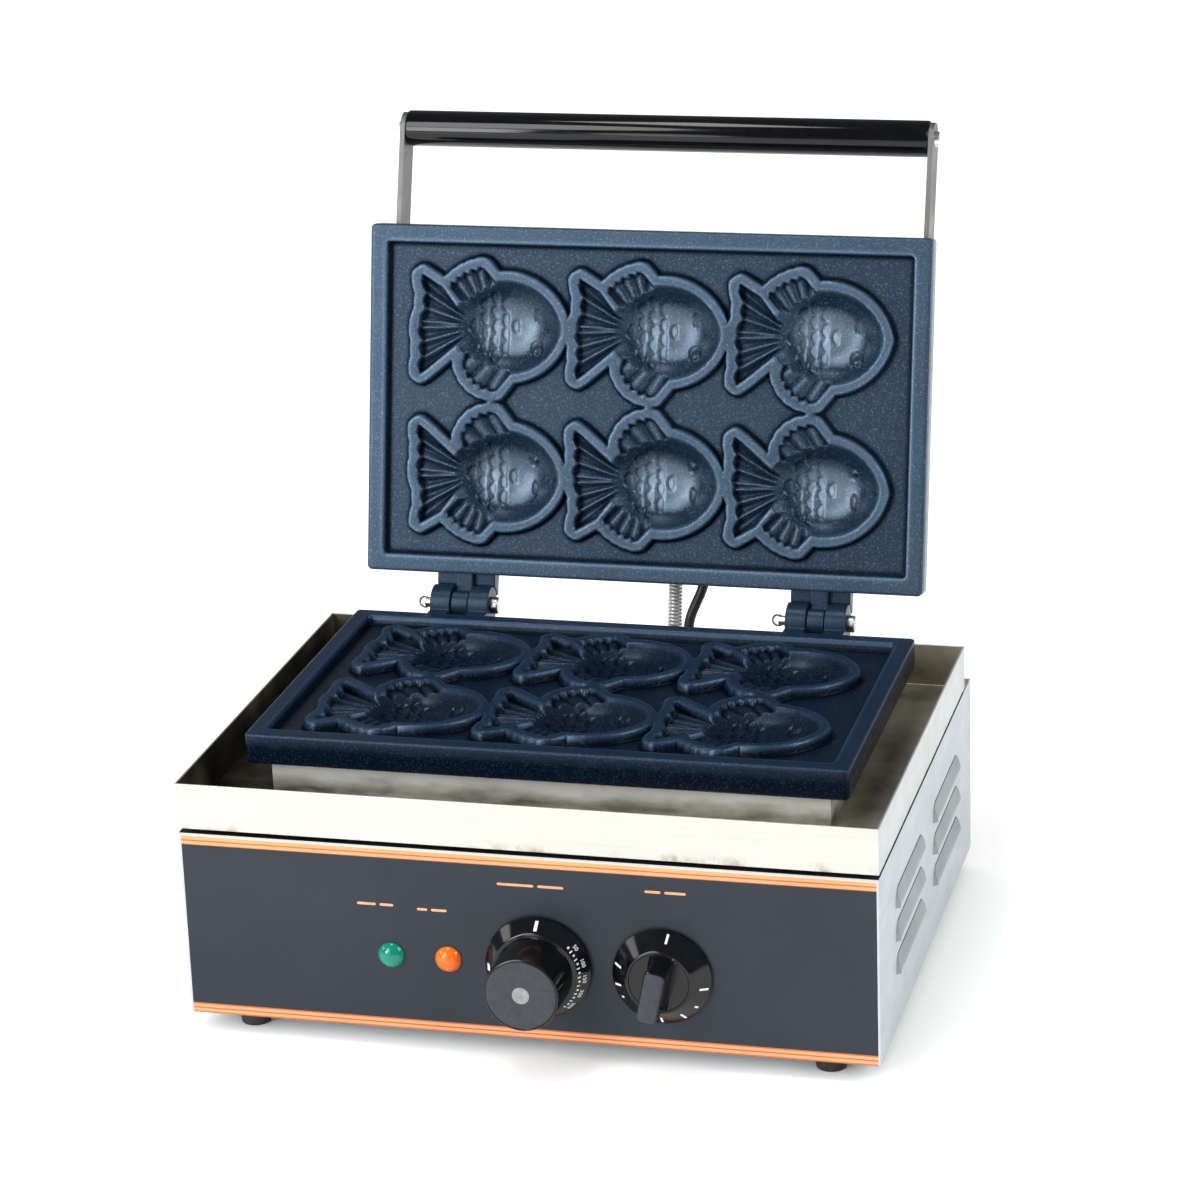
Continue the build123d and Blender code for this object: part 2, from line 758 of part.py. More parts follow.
# ---- glands and leads between the housing and the lid ----
with BuildPart() as housing_gland:
    with BuildSketch(Plane.XY.offset(body_top)):
        with Locations((gland_x, leads_y)):
            RectangleRounded(gland_width, gland_depth, gland_rim)
    extrude(amount=gland_height)
    with BuildSketch(Plane.XY.offset(body_top)):
        with Locations((gland_x, leads_y)):
            Rectangle(gland_width - gland_rim - rest_gap, gland_hole_depth - rest_gap)
    extrude(amount=-2 * sheet)
    with BuildSketch(leads_start):
        with Locations((conduit_x, 0)):
            Circle(conduit_radius + gland_collar)
        with Locations((lead_x, 0)):
            Circle(lead_radius + gland_collar)
    extrude(amount=gland_height + gland_boss)
save(housing_gland.part, "housing_gland")

leads_low = gland_height + gland_boss
leads_high = leads_length - gland_height - gland_boss
with BuildPart() as lid_gland:
    with BuildSketch(leads_start.offset(leads_length)):
        with Locations((cover_gland_x, 0)):
            RectangleRounded(cover_gland_width, gland_depth, gland_rim)
    extrude(amount=-gland_height)
    with BuildSketch(leads_start.offset(leads_length - gland_height)):
        with Locations((conduit_x, 0)):
            Circle(conduit_radius + gland_collar)
        with Locations((lead_top_x, 0)):
            Circle(lead_radius + gland_collar)
    extrude(amount=-gland_boss)
save(lid_gland.part, "lid_gland")

with BuildPart() as conduit_core:
    with BuildSketch(leads_start.offset(leads_low)):
        with Locations((conduit_x, 0)):
            Circle(core_radius)
    extrude(amount=leads_high - leads_low)
save(conduit_core.part, "conduit_core")

with BuildPart() as lid_lead:
    with BuildLine(leads_plane):
        FilletPolyline((lead_x, leads_low), (lead_x, lead_bend_low), (lead_top_x, lead_bend_high),
                       (lead_top_x, leads_high), radius=lead_bend_radius)
    with BuildSketch(leads_start.offset(leads_low)):
        with Locations((lead_x, 0)):
            Circle(lead_radius)
    sweep()
save(lid_lead.part, "lid_lead")

# spring conduit: one wire wound along the leads' line, each half turn made of two arcs
coil_radius = conduit_radius - conduit_wire / 2
coil_low = leads_low + conduit_wire / 2 + rest_gap
coil_turns = int((leads_high - leads_low - conduit_wire - 2 * rest_gap) / conduit_pitch)
coil_pitch = (leads_high - leads_low - conduit_wire - 2 * rest_gap) / coil_turns


def coil_point(turn):
    angle = 2 * pi * turn
    return Vector(coil_radius * cos(angle), coil_radius * sin(angle), coil_low + coil_pitch * turn)


def coil_tangent(turn):
    angle = 2 * pi * turn
    reach = 2 * pi * coil_radius
    return Vector(-reach * sin(angle), reach * cos(angle), coil_pitch).normalized()


def two_arcs(start, start_way, end, end_way):
    """Joins two points by two arcs that meet smoothly and leave and arrive along the given ways."""
    chord = end - start
    both = start_way + end_way
    square = 4 - both.dot(both)
    along = chord.dot(both)
    reach = (sqrt(along**2 + square * chord.dot(chord)) - along) / square
    first = start + start_way * reach
    last = end - end_way * reach
    middle = (first + last) * 0.5
    TangentArc(start, middle, tangent=start_way)
    TangentArc(middle, end, tangent=last - first)


conduit_axis = Plane(origin=(conduit_x, leads_y, body_top), x_dir=(1, 0, 0),
                     z_dir=(0, sin(lean), cos(lean)))
with BuildPart() as flex_conduit:
    with BuildLine() as winding:
        for half_turn in range(2 * coil_turns):
            turn = half_turn / 2
            two_arcs(coil_point(turn), coil_tangent(turn), coil_point(turn + 0.5), coil_tangent(turn + 0.5))
    with BuildSketch(Plane(origin=coil_point(0), x_dir=(1, 0, 0), z_dir=coil_tangent(0))):
        RegularPolygon(conduit_wire / 2, 4)
    sweep()
turn_samples = 24
sample_count = turn_samples * coil_turns
samples = [winding.wire().position_at(step / sample_count) for step in range(sample_count + 1)]
least = min((a - b).length for i, a in enumerate(samples)
            for b in samples[i + turn_samples // 2:i + 2 * turn_samples])
print("spring conduit:", coil_turns, "turns, least gap to itself", round(least - conduit_wire, 2), "mm")
save(flex_conduit.part.moved(conduit_axis.location), "flex_conduit")

# ---- lid: upper mould plate with the middle lugs ----
lid_root_z = lid_face_z + hinge_root_step
block_y = plate_back_y + lug_block_reach
with BuildPart() as upper_mould_plate:
    add(mould_plate(lid_face_z, lid_back_z))
    for hinge_x in (-hinge_centre_x, hinge_centre_x):
        with BuildSketch(Plane.YZ.offset(hinge_x - hinge_span / 2)):
            Polygon((root_y, lid_root_z), (block_y, lid_root_z), (block_y, lid_back_z - lug_step),
                    (root_y, lid_back_z), align=None)
        extrude(amount=hinge_span)
        with BuildSketch(Plane.YZ.offset(hinge_x - lug_width / 2)):
            with Locations((hinge_y, parting_z)):
                Circle(lug_radius)
            Polygon((root_y, lid_root_z), (hinge_y - lug_neck, lid_root_z), (hinge_y, parting_z),
                    (hinge_y, parting_z + lug_radius), (block_y, lid_back_z - lug_step),
                    (root_y, lid_back_z - lug_step), align=None)
            with Locations((hinge_y, parting_z)):
                Circle(bore_radius, mode=Mode.SUBTRACT)
        extrude(amount=lug_width)
save_lid(upper_mould_plate.part, "upper_mould_plate")

# ---- lid cover, element and pad ----
cover_depth = cover_back_y - cover_front_y
arm_rise = (grip_z - arm_end_z) / (grip_y - arm_end_y)
arm_bolts = [(y, arm_end_z + arm_rise * (y - arm_end_y)) for y in (arm_end_y, arm_end_y - arm_bolt_pitch)]
hole_radius = screw_radius + screw_clearance
with BuildPart() as lid_cover:
    with BuildSketch(Plane.XY.offset(lid_back_z)):
        with Locations((0, plate_y)):
            Rectangle(lid_cover_width, cover_depth)
    extrude(amount=lid_cover_height)
    fillet(lid_cover.edges().filter_by(Axis.Z), lid_cover_round)
    fillet(lid_cover.faces().sort_by(Axis.Z)[-1].edges(), lid_cover_round)
    with BuildSketch(Plane.XY.offset(lid_back_z)):
        with Locations((0, plate_y)):
            Rectangle(lid_cover_width - 2 * sheet, cover_depth - 2 * sheet)
    extrude(amount=lid_cover_height - lid_cover_round, mode=Mode.SUBTRACT)
    with BuildSketch(Plane.YZ.offset(-cover_half)):
        with Locations(*arm_bolts):
            Circle(hole_radius)
    extrude(amount=lid_cover_width, mode=Mode.SUBTRACT)
save_lid(lid_cover.part, "lid_cover")

with BuildPart() as upper_insulation_pad:
    with BuildSketch(Plane.XY.offset(lid_back_z + element_room)):
        with Locations((0, plate_y)):
            Rectangle(lid_cover_width - 2 * (sheet + screw_length + screw_end_gap),
                      cover_depth - 2 * (sheet + pad_gap))
    extrude(amount=lid_cover_height - lid_cover_round - element_room - rest_gap)
save_lid(upper_insulation_pad.part, "upper_insulation_pad")
save_lid(heating_element(lid_back_z + rest_gap + element_radius), "upper_heating_element")

# ---- handle ----
arm_slope = degrees(atan2(grip_z - arm_end_z, grip_y - arm_end_y))
arm_middle = ((arm_end_y + grip_y) / 2, (arm_end_z + grip_z) / 2)
arm_length = sqrt((grip_y - arm_end_y)**2 + (grip_z - arm_end_z)**2)
for plane_x, word in ((-cover_half - arm_thick, "left"), (cover_half, "right")):
    with BuildPart() as handle_arm:
        with BuildSketch(Plane.YZ.offset(plane_x)):
            with Locations(arm_middle):
                SlotCenterToCenter(arm_length, arm_width, rotation=arm_slope)
            with Locations(*arm_bolts, (grip_y, grip_z)):
                Circle(hole_radius, mode=Mode.SUBTRACT)
        extrude(amount=arm_thick)
    save_lid(handle_arm.part, f"handle_arm_{word}")

with BuildPart() as handle_grip:
    with BuildSketch(Plane.YZ.offset(-cover_half)):
        with Locations((grip_y, grip_z)):
            Circle(grip_radius)
            Circle(rod_radius + rod_clearance, mode=Mode.SUBTRACT)
    extrude(amount=2 * cover_half)
save_lid(handle_grip.part, "handle_grip")

with BuildPart() as handle_rod:
    with BuildSketch(Plane.YZ.offset(-cover_half)):
        with Locations((grip_y, grip_z)):
            Circle(rod_radius)
    extrude(amount=2 * cover_half)
    for end_x, way in ((-cover_half, 1), (cover_half, -1)):
        with BuildSketch(Plane.YZ.offset(end_x)):
            with Locations((grip_y, grip_z)):
                Circle(hole_radius)
        extrude(amount=way * (screw_length + rest_gap), mode=Mode.SUBTRACT)
save_lid(handle_rod.part, "handle_rod")

for name, places in (("arm_screws", arm_bolts), ("grip_screws", [(grip_y, grip_z)])):
    with BuildPart() as screws:
        for head_x, way in ((-cover_half - arm_thick, 1), (cover_half + arm_thick, -1)):
            with BuildSketch(Plane.YZ.offset(head_x)):
                with Locations(*places):
                    Circle(screw_radius)
            extrude(amount=way * (arm_thick + screw_length))
            with BuildSketch(Plane.YZ.offset(head_x)):
                with Locations(*places):
                    Circle(screw_head_radius)
            extrude(amount=-way * screw_head_thick, taper=screw_head_draft)
    save_lid(screws.part, name)
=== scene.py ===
import json
from math import atan2, cos, degrees, pi, radians, sin

import bmesh
import bpy
import numpy as np
from mathutils import Matrix, Vector


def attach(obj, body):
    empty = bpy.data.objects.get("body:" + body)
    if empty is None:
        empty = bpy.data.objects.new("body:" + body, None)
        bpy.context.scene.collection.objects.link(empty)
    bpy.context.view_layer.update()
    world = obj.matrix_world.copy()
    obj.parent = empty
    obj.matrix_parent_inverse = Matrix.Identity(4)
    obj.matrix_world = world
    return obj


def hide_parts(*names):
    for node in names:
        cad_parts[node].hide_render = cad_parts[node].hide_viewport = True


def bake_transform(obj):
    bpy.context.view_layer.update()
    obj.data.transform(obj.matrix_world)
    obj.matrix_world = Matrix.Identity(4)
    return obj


# Looks of a countertop fish-waffle iron that stands open. Lengths are millimetres, in the frame of the
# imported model: X to the right, Y to the back, Z up. Lid pieces are drawn closed and then opened.

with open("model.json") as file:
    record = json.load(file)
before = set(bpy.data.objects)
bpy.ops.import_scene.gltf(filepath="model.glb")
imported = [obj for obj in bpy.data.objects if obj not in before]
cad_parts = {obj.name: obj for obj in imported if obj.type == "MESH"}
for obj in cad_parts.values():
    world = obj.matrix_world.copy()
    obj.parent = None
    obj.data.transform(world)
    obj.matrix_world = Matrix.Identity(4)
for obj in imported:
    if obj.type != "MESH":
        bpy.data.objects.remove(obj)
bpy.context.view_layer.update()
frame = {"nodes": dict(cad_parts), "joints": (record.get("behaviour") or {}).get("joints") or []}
MM = 0.001

# ---- sizes shared with the model ----
hinge = next(joint for joint in frame["joints"] if joint["name"] == "lid_hinge")
open_angle = radians(hinge["range_deg"][1])
hinge_y = hinge["pos_m"][1] / MM
parting_z = hinge["pos_m"][2] / MM
front_y = -156
body_low = 12
body_top = 123
tray_low = 126
tray_high = 153
tray_front_y = -157
tray_back_y = 132
tray_half = 200.5
plate_half = 175
plate_front_y = -108
plate_back_y = 107
plate_y = -0.5
lower_back_z = 147.4
upper_face_z = 166
upper_back_z = 183.8
control_z = 57.2
temperature_x = 8
timer_x = 78.6
cover_half = 164.8
grip_y = -166.5
grip_z = 210.9
grip_radius = 11.17

# ---- the photograph's camera, solved from the body's corners ----
camera_place = (552.7, -2047.4, 963.2)
camera_turn = radians(-14.87)
camera_pitch = radians(19.37)
camera_roll = radians(-2.08)
focal_pixels = 3877.8
frame_pixels = 1200
sensor_width = 36


# ---- mesh tools ----
def opened(points):
    """Turns points of the closed lid about the hinge axis to where the open lid has them."""
    points = np.array(points, float)
    y = points[:, 1] - hinge_y
    z = points[:, 2] - parting_z
    turn = -open_angle
    points[:, 1] = hinge_y + y * cos(turn) - z * sin(turn)
    points[:, 2] = parting_z + y * sin(turn) + z * cos(turn)
    return points


def placed(name, data):
    """New object in the scene."""
    thing = bpy.data.objects.new(name, data)
    bpy.context.scene.collection.objects.link(thing)
    return thing


def piece(name, points, faces, material, body, slot, replaced=(), sharp=40):
    points = opened(points) if body == "lid" else np.array(points, float)
    mesh = bpy.data.meshes.new(name)
    mesh.from_pydata((points * MM).tolist(), [], faces)
    shape = bmesh.new()
    shape.from_mesh(mesh)
    bmesh.ops.recalc_face_normals(shape, faces=shape.faces)
    shape.to_mesh(mesh)
    shape.free()
    mesh.shade_smooth()
    if sharp:
        mesh.set_sharp_from_angle(angle=radians(sharp))
    mesh.materials.append(material)
    thing = placed(name, mesh)
    if body:
        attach(thing, body)
    if replaced:
        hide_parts(*replaced)
    return thing


def bevelled(thing, width, segments=3, angle=30):
    """Rounds the sharp edges of a piece, width in millimetres."""
    bevel = thing.modifiers.new("rounding", "BEVEL")
    bevel.width = width * MM
    bevel.segments = segments
    bevel.limit_method = "ANGLE"
    bevel.angle_limit = radians(angle)
    thing.modifiers.new("even normals", "WEIGHTED_NORMAL")
    return thing


def loft(loops, closed_ends=True):
    """Points and faces of a skin through loops of equally many points."""
    count = len(loops[0])
    points = np.concatenate([np.array(loop, float) for loop in loops])
    faces = []
    for ring in range(len(loops) - 1):
        for i in range(count):
            j = (i + 1) % count
            low = ring * count
            faces.append((low + i, low + j, low + count + j, low + count + i))
    if closed_ends:
        faces.append(tuple(range(count))[::-1])
        faces.append(tuple(range(len(points) - count, len(points))))
    return points, faces


def tube(path, radius, sides=24):
    """Round tube along points; radius is one number or one for each point."""
    path = np.array(path, float)
    radii = np.broadcast_to(radius, len(path))
    ways = np.gradient(path, axis=0)
    ways /= np.linalg.norm(ways, axis=1)[:, None]
    side = np.cross(ways[0], (0.31, 0.52, 0.79))
    side /= np.linalg.norm(side)
    loops = []
    for point, way, r in zip(path, ways, radii):
        side = side - way * side.dot(way)
        side /= np.linalg.norm(side)
        other = np.cross(way, side)
        loops.append([point + r * (cos(2 * pi * k / sides) * side + sin(2 * pi * k / sides) * other)
                      for k in range(sides)])
    return loft(loops)


def turned(profile, x, z, y=front_y, segments=96):
    """Round piece turned about an axis along Y. profile holds (radius, height out of the panel)."""
    loops = []
    for radius, height in profile:
        loops.append([(x + max(radius, 0.01) * sin(2 * pi * k / segments), y - height,
                       z + max(radius, 0.01) * cos(2 * pi * k / segments)) for k in range(segments)])
    return loft(loops)


def arc(centre, radius, start, end, steps):
    """Points of an arc in a plane, angles in degrees."""
    return [(centre[0] + radius * cos(radians(start + (end - start) * k / steps)),
             centre[1] + radius * sin(radians(start + (end - start) * k / steps))) for k in range(steps + 1)]


def prism(profile, x_low, x_high):
    """Side-view profile of (y, z) points drawn out along X."""
    return loft([[(x, y, z) for y, z in profile] for x in (x_low, x_high)])


def merged(parts):
    """Joins several (points, faces) into one."""
    points, faces, count = [], [], 0
    for some, these in parts:
        points.append(np.array(some, float))
        faces += [tuple(i + count for i in face) for face in these]
        count += len(some)
    return np.concatenate(points), faces


def block(x_low, x_high, y_low, y_high, z_low, z_high):
    corners = [(x_low, y_low), (x_high, y_low), (x_high, y_high), (x_low, y_high)]
    return loft([[(x, y, z) for x, y in corners] for z in (z_low, z_high)])


# ---- materials ----
class Finish:
    """Builds one node material on a Principled shader."""

    def __init__(self, name, metallic=0.0, roughness=0.5, **sockets):
        self.material = bpy.data.materials.new(name)
        self.material.use_nodes = True
        self.tree = self.material.node_tree
        self.shader = self.tree.nodes["Principled BSDF"]
        self.shader.inputs["Metallic"].default_value = metallic
        self.shader.inputs["Roughness"].default_value = roughness
        for socket, value in sockets.items():
            self.shader.inputs[socket.replace("_", " ")].default_value = value
        self.place = self.node("ShaderNodeTexCoord").outputs["Object"]

    def node(self, kind, **settings):
        node = self.tree.nodes.new(kind)
        for name, value in settings.items():
            setattr(node, name, value)
        return node

    def link(self, start, end):
        self.tree.links.new(start, end)
        return end

    def noise(self, scale, detail=3.0, stretch=(1, 1, 1), rough=0.5):
        """Noise in metres of the object's own place; scale counts features per metre."""
        mapping = self.node("ShaderNodeMapping")
        mapping.inputs["Scale"].default_value = stretch
        noise = self.node("ShaderNodeTexNoise")
        noise.inputs["Scale"].default_value = scale
        noise.inputs["Detail"].default_value = detail
        noise.inputs["Roughness"].default_value = rough
        self.link(self.place, mapping.inputs["Vector"])
        self.link(mapping.outputs["Vector"], noise.inputs["Vector"])
        return noise.outputs["Fac"]

    def ramp(self, source, stops, constant=False):
        ramp = self.node("ShaderNodeValToRGB")
        if constant:
            ramp.color_ramp.interpolation = "CONSTANT"
        elements = ramp.color_ramp.elements
        while len(elements) < len(stops):
            elements.new(0.5)
        for element, (place, colour) in zip(elements, stops):
            element.position = place
            element.color = (*colour, 1) if len(colour) == 3 else colour
        self.link(source, ramp.inputs["Fac"])
        return ramp.outputs["Color"]

    def spread(self, source, low, high, from_low=0.0, from_high=1.0):
        spread = self.node("ShaderNodeMapRange")
        spread.inputs["From Min"].default_value = from_low
        spread.inputs["From Max"].default_value = from_high
        spread.inputs["To Min"].default_value = low
        spread.inputs["To Max"].default_value = high
        self.link(source, spread.inputs["Value"])
        return spread.outputs["Result"]

    def math(self, operation, a, b=0.5):
        node = self.node("ShaderNodeMath", operation=operation)
        for socket, value in zip(node.inputs, (a, b)):
            if isinstance(value, (int, float)):
                socket.default_value = value
            else:
                self.link(value, socket)
        return node.outputs["Value"]

    def mix(self, factor, a, b, blend="MIX"):
        mix = self.node("ShaderNodeMix", data_type="RGBA", blend_type=blend)
        for socket, value in ((mix.inputs["Factor"], factor), (mix.inputs[6], a), (mix.inputs[7], b)):
            if isinstance(value, (int, float)):
                socket.default_value = value
            elif isinstance(value, tuple):
                socket.default_value = (*value, 1)
            else:
                self.link(value, socket)
        return mix.outputs[2]

    def attribute(self, name):
        return self.node("ShaderNodeAttribute", attribute_name=name).outputs["Fac"]

    def axis(self, letter):
        """One coordinate of the place, in metres."""
        split = self.node("ShaderNodeSeparateXYZ")
        self.link(self.place, split.inputs["Vector"])
        return split.outputs[letter]

    def colour(self, source):
        self.link(source, self.shader.inputs["Base Color"])
        return self

    def rough(self, source):
        self.link(source, self.shader.inputs["Roughness"])
        return self

    def bump(self, source, strength, distance=0.0005):
        bump = self.node("ShaderNodeBump")
        bump.inputs["Strength"].default_value = strength
        bump.inputs["Distance"].default_value = distance
        self.link(source, bump.inputs["Height"])
        self.link(bump.outputs["Normal"], self.shader.inputs["Normal"])
        return self


# tone of the pale bellies, a painted highlight, and depths in metres over which a mould's coating changes:
# painted shade toward the deep floor, the painted belly highlight, and gloss
belly_tone = (0.16, 0.21, 0.27)
ridge_fade = (0, 0.0030)
belly_fade = (0.0088, 0.0128)
gloss_fade = (0.0062, 0.0085)


def mould_finish(name, floor_tone, ridge_tone, spot_tone, rough_low, rough_high, sheen, deep_share=0.0):
    """Non-stick coating on a cast face: fine speckle, cloudy tone and satin sheen, with the ridges paler
    than the deep floor as painted shade in the hollows.
    The mesh keeps two attributes of the relief: depth in metres, and crest from -1 in grooves to 1 on edges.
    Crest darkens grooves as painted shade, pales edges as a painted highlight, and dulls the grooves' sheen."""
    f = Finish(name, metallic=0.2, Specular_Tint=(0.60, 0.80, 1.0, 1))
    crest = f.attribute("crest")
    f.link(f.spread(crest, 0.15 * sheen, 1.25 * sheen, -0.7, 0.8), f.shader.inputs["Specular IOR Level"])
    depth = f.attribute("depth")
    height = f.spread(depth, 1, 0, *ridge_fade)
    cloud = f.noise(22, 4)
    # painted shade: deeper parts take the darker floor tone, parts near the rim the paler ridge tone
    patchy = f.math("MULTIPLY", height, f.spread(cloud, 0.75, 1.1, 0.3, 0.7))
    tone = f.mix(patchy, floor_tone, ridge_tone)
    # painted, not lit: a paler belly stands in for the highlight that the photo has there
    pale = f.spread(depth, 0, deep_share, *belly_fade)
    pale = f.math("MULTIPLY", pale, f.spread(cloud, 0.4, 1.5, 0.3, 0.7))
    tone = f.mix(pale, tone, belly_tone)
    speckle = f.noise(850, 2, rough=0.7)
    spots = f.ramp(speckle, [(0.0, (0, 0, 0)), (0.54, (0, 0, 0)), (0.70, spot_tone)])
    tone = f.mix(0.6, tone, spots, "ADD")
    # painted shade in the grooves and a painted highlight on the edges, by crest
    f.colour(f.mix(1, tone, f.spread(crest, 0.25, 1.9, -0.9, 0.9), "MULTIPLY"))
    # the bellies look glossier than the flats in the photo
    matte = f.spread(depth, 0.10, -0.02, *gloss_fade)
    f.rough(f.math("ADD", f.spread(f.noise(160, 4), rough_low, rough_high, 0.25, 0.75), matte))
    f.bump(f.noise(620, 3, rough=0.7), 0.30, 0.0003)
    return f.material


def steel_finish(name, dark, light, rough_low, rough_high, along=(1, 1, 1), metallic=1.0, bump=0.15):
    """Brushed or plain steel sheet with streaks along one axis."""
    f = Finish(name, metallic=metallic)
    streak = f.noise(60, 6, along, 0.7)
    f.colour(f.ramp(streak, [(0.25, dark), (0.75, light)]))
    f.rough(f.spread(f.noise(35, 4), rough_low, rough_high, 0.3, 0.7))
    f.bump(streak, bump, 0.0001)
    return f.material


def plastic_finish(name, dark, light, rough_low, rough_high, scale=240, bump=0.08, **sockets):
    f = Finish(name, **sockets)
    f.colour(f.ramp(f.noise(scale, 3), [(0.3, dark), (0.7, light)]))
    f.rough(f.spread(f.noise(scale / 3, 4), rough_low, rough_high, 0.3, 0.7))
    f.bump(f.noise(scale * 4, 2), bump, 0.0001)
    return f.material


def panel_finish():
    """Printed front sheet: slate ground and orange bands along its top and bottom edges, with a pale line
    near the top that is a painted highlight on the sheet's bend.
    """
    f = Finish("panel_print", roughness=0.38, Specular_IOR_Level=0.22)
    height = f.spread(f.axis("Z"), 0, 1, body_low * MM, body_top * MM)
    slate = (0.023, 0.031, 0.041)
    orange = (0.84, 0.36, 0.17)
    rust = (0.50, 0.15, 0.055)
    # pale is a painted highlight: the bend at the sheet's top catching light
    pale = (0.90, 0.62, 0.42)
    bands = f.ramp(height, [(0.0, rust), (0.005, orange), (0.021, rust), (0.028, orange), (0.046, rust),
                            (0.051, slate), (0.934, rust), (0.939, orange), (0.956, rust), (0.963, orange),
                            (0.981, pale), (0.990, rust)], constant=True)
    cloud = f.spread(f.noise(14, 3), 0.88, 1.14, 0.3, 0.7)
    f.colour(f.mix(1, bands, cloud, "MULTIPLY"))
    f.rough(f.spread(f.noise(90, 4), 0.33, 0.46, 0.3, 0.7))
    f.bump(f.noise(1500, 2), 0.06, 0.0001)
    return f.material


def box_finish():
    """Heater box sheet, with the photo's tones: pale along its top as a painted highlight, and brown toward
    its foot, darkened there as painted shade.
    """
    f = Finish("heater_box_sheet", metallic=0.2)
    # painted light by height: a highlight along the top and shade toward the foot
    height = f.spread(f.axis("Z"), 0, 1, 0.1310, 0.1474)
    cloud = f.noise(30, 5, (1, 1, 2.5), 0.6)
    level = f.math("ADD", f.math("MULTIPLY", height, 0.62), f.math("MULTIPLY", cloud, 0.62))
    f.colour(f.ramp(level, [(0.22, (0.13, 0.115, 0.085)), (0.42, (0.48, 0.47, 0.41)),
                            (0.60, (0.82, 0.83, 0.78)), (0.86, (0.95, 0.96, 0.93))]))
    f.rough(f.spread(f.noise(45, 4), 0.32, 0.5, 0.3, 0.7))
    f.bump(cloud, 0.2, 0.0002)
    return f.material


def housing_finish():
    """Painted sheet, coloured darker on the louvres' slopes and on the roof under the tray, where the
    photo has shade."""
    f = Finish("housing_sheet", metallic=0.25)
    streak = f.noise(60, 6, (0.3, 0.3, 2), 0.7)
    sheet = f.ramp(streak, [(0.25, (0.46, 0.50, 0.535)), (0.75, (0.56, 0.60, 0.635))])
    normal = f.node("ShaderNodeSeparateXYZ")
    f.link(f.node("ShaderNodeNewGeometry").outputs["Normal"], normal.inputs["Vector"])
    facing = f.math("ABSOLUTE", normal.outputs["X"], 0)
    pressed = f.math("MULTIPLY", f.math("GREATER_THAN", facing, 0.5), f.spread(facing, 1, 0, 0.975, 0.998))
    sheet = f.mix(f.math("MULTIPLY", pressed, 0.75), sheet, (0.20, 0.225, 0.245))
    roof = f.math("MULTIPLY", f.math("GREATER_THAN", normal.outputs["Z"], 0.7),
                  f.math("LESS_THAN", f.axis("Y"), tray_back_y * MM))
    f.colour(f.mix(roof, sheet, (0.022, 0.020, 0.017)))
    f.rough(f.spread(f.noise(35, 4), 0.36, 0.52, 0.3, 0.7))
    f.bump(streak, 0.05, 0.0001)
    return f.material


def tray_finish():
    """Steel tray, with the photo's tones: bright outside with its sides painted more blue as painted light,
    brown and blotchy inside with painted shade toward the left.
    """
    f = Finish("tray_steel", metallic=0.55)
    x = f.math("ABSOLUTE", f.axis("X"), 0)
    sides = f.math("GREATER_THAN", x, (tray_half - 0.5) * MM)
    front = f.math("LESS_THAN", f.axis("Y"), (tray_front_y + 0.5) * MM)
    back = f.math("GREATER_THAN", f.axis("Y"), (tray_back_y - 0.5) * MM)
    top = f.math("GREATER_THAN", f.axis("Z"), (tray_high - 0.4) * MM)
    outer = f.math("MAXIMUM", f.math("MAXIMUM", sides, front), f.math("MAXIMUM", back, top))
    # stains from noise, plus painted shade and light: the inside darker toward the left and paler toward the
    # right
    stain_and_shade = f.noise(16, 6, rough=0.62)
    stain_and_shade = f.math("ADD", stain_and_shade, f.spread(f.axis("X"), -0.16, 0.17, -tray_half * MM, tray_half * MM))
    inside = f.ramp(stain_and_shade, [(0.25, (0.018, 0.014, 0.009)), (0.43, (0.13, 0.115, 0.08)),
                            (0.58, (0.36, 0.33, 0.245)), (0.76, (0.56, 0.53, 0.43))])
    streak = f.noise(50, 6, (0.12, 0.12, 3), 0.7)
    outside = f.ramp(streak, [(0.25, (0.56, 0.56, 0.505)), (0.75, (0.66, 0.66, 0.61))])
    # painted light: the sides are coloured more blue than the front
    bluer = f.ramp(streak, [(0.25, (0.50, 0.525, 0.53)), (0.75, (0.60, 0.625, 0.63))])
    outside = f.mix(sides, outside, bluer)
    # faint brown blotches along the lower hem, like the marks that the photo has there
    low = f.spread(f.axis("Z"), 1, 0, (tray_low + 0.5) * MM, (tray_low + 6) * MM)
    blotches = f.math("MULTIPLY", low, f.spread(f.noise(55, 5, rough=0.7), 0, 1, 0.52, 0.72))
    outside = f.mix(blotches, outside, (0.30, 0.22, 0.12))
    f.colour(f.mix(outer, inside, outside))
    f.rough(f.spread(f.noise(40, 5), 0.28, 0.5, 0.3, 0.7))
    f.bump(streak, 0.12, 0.0001)
    return f.material


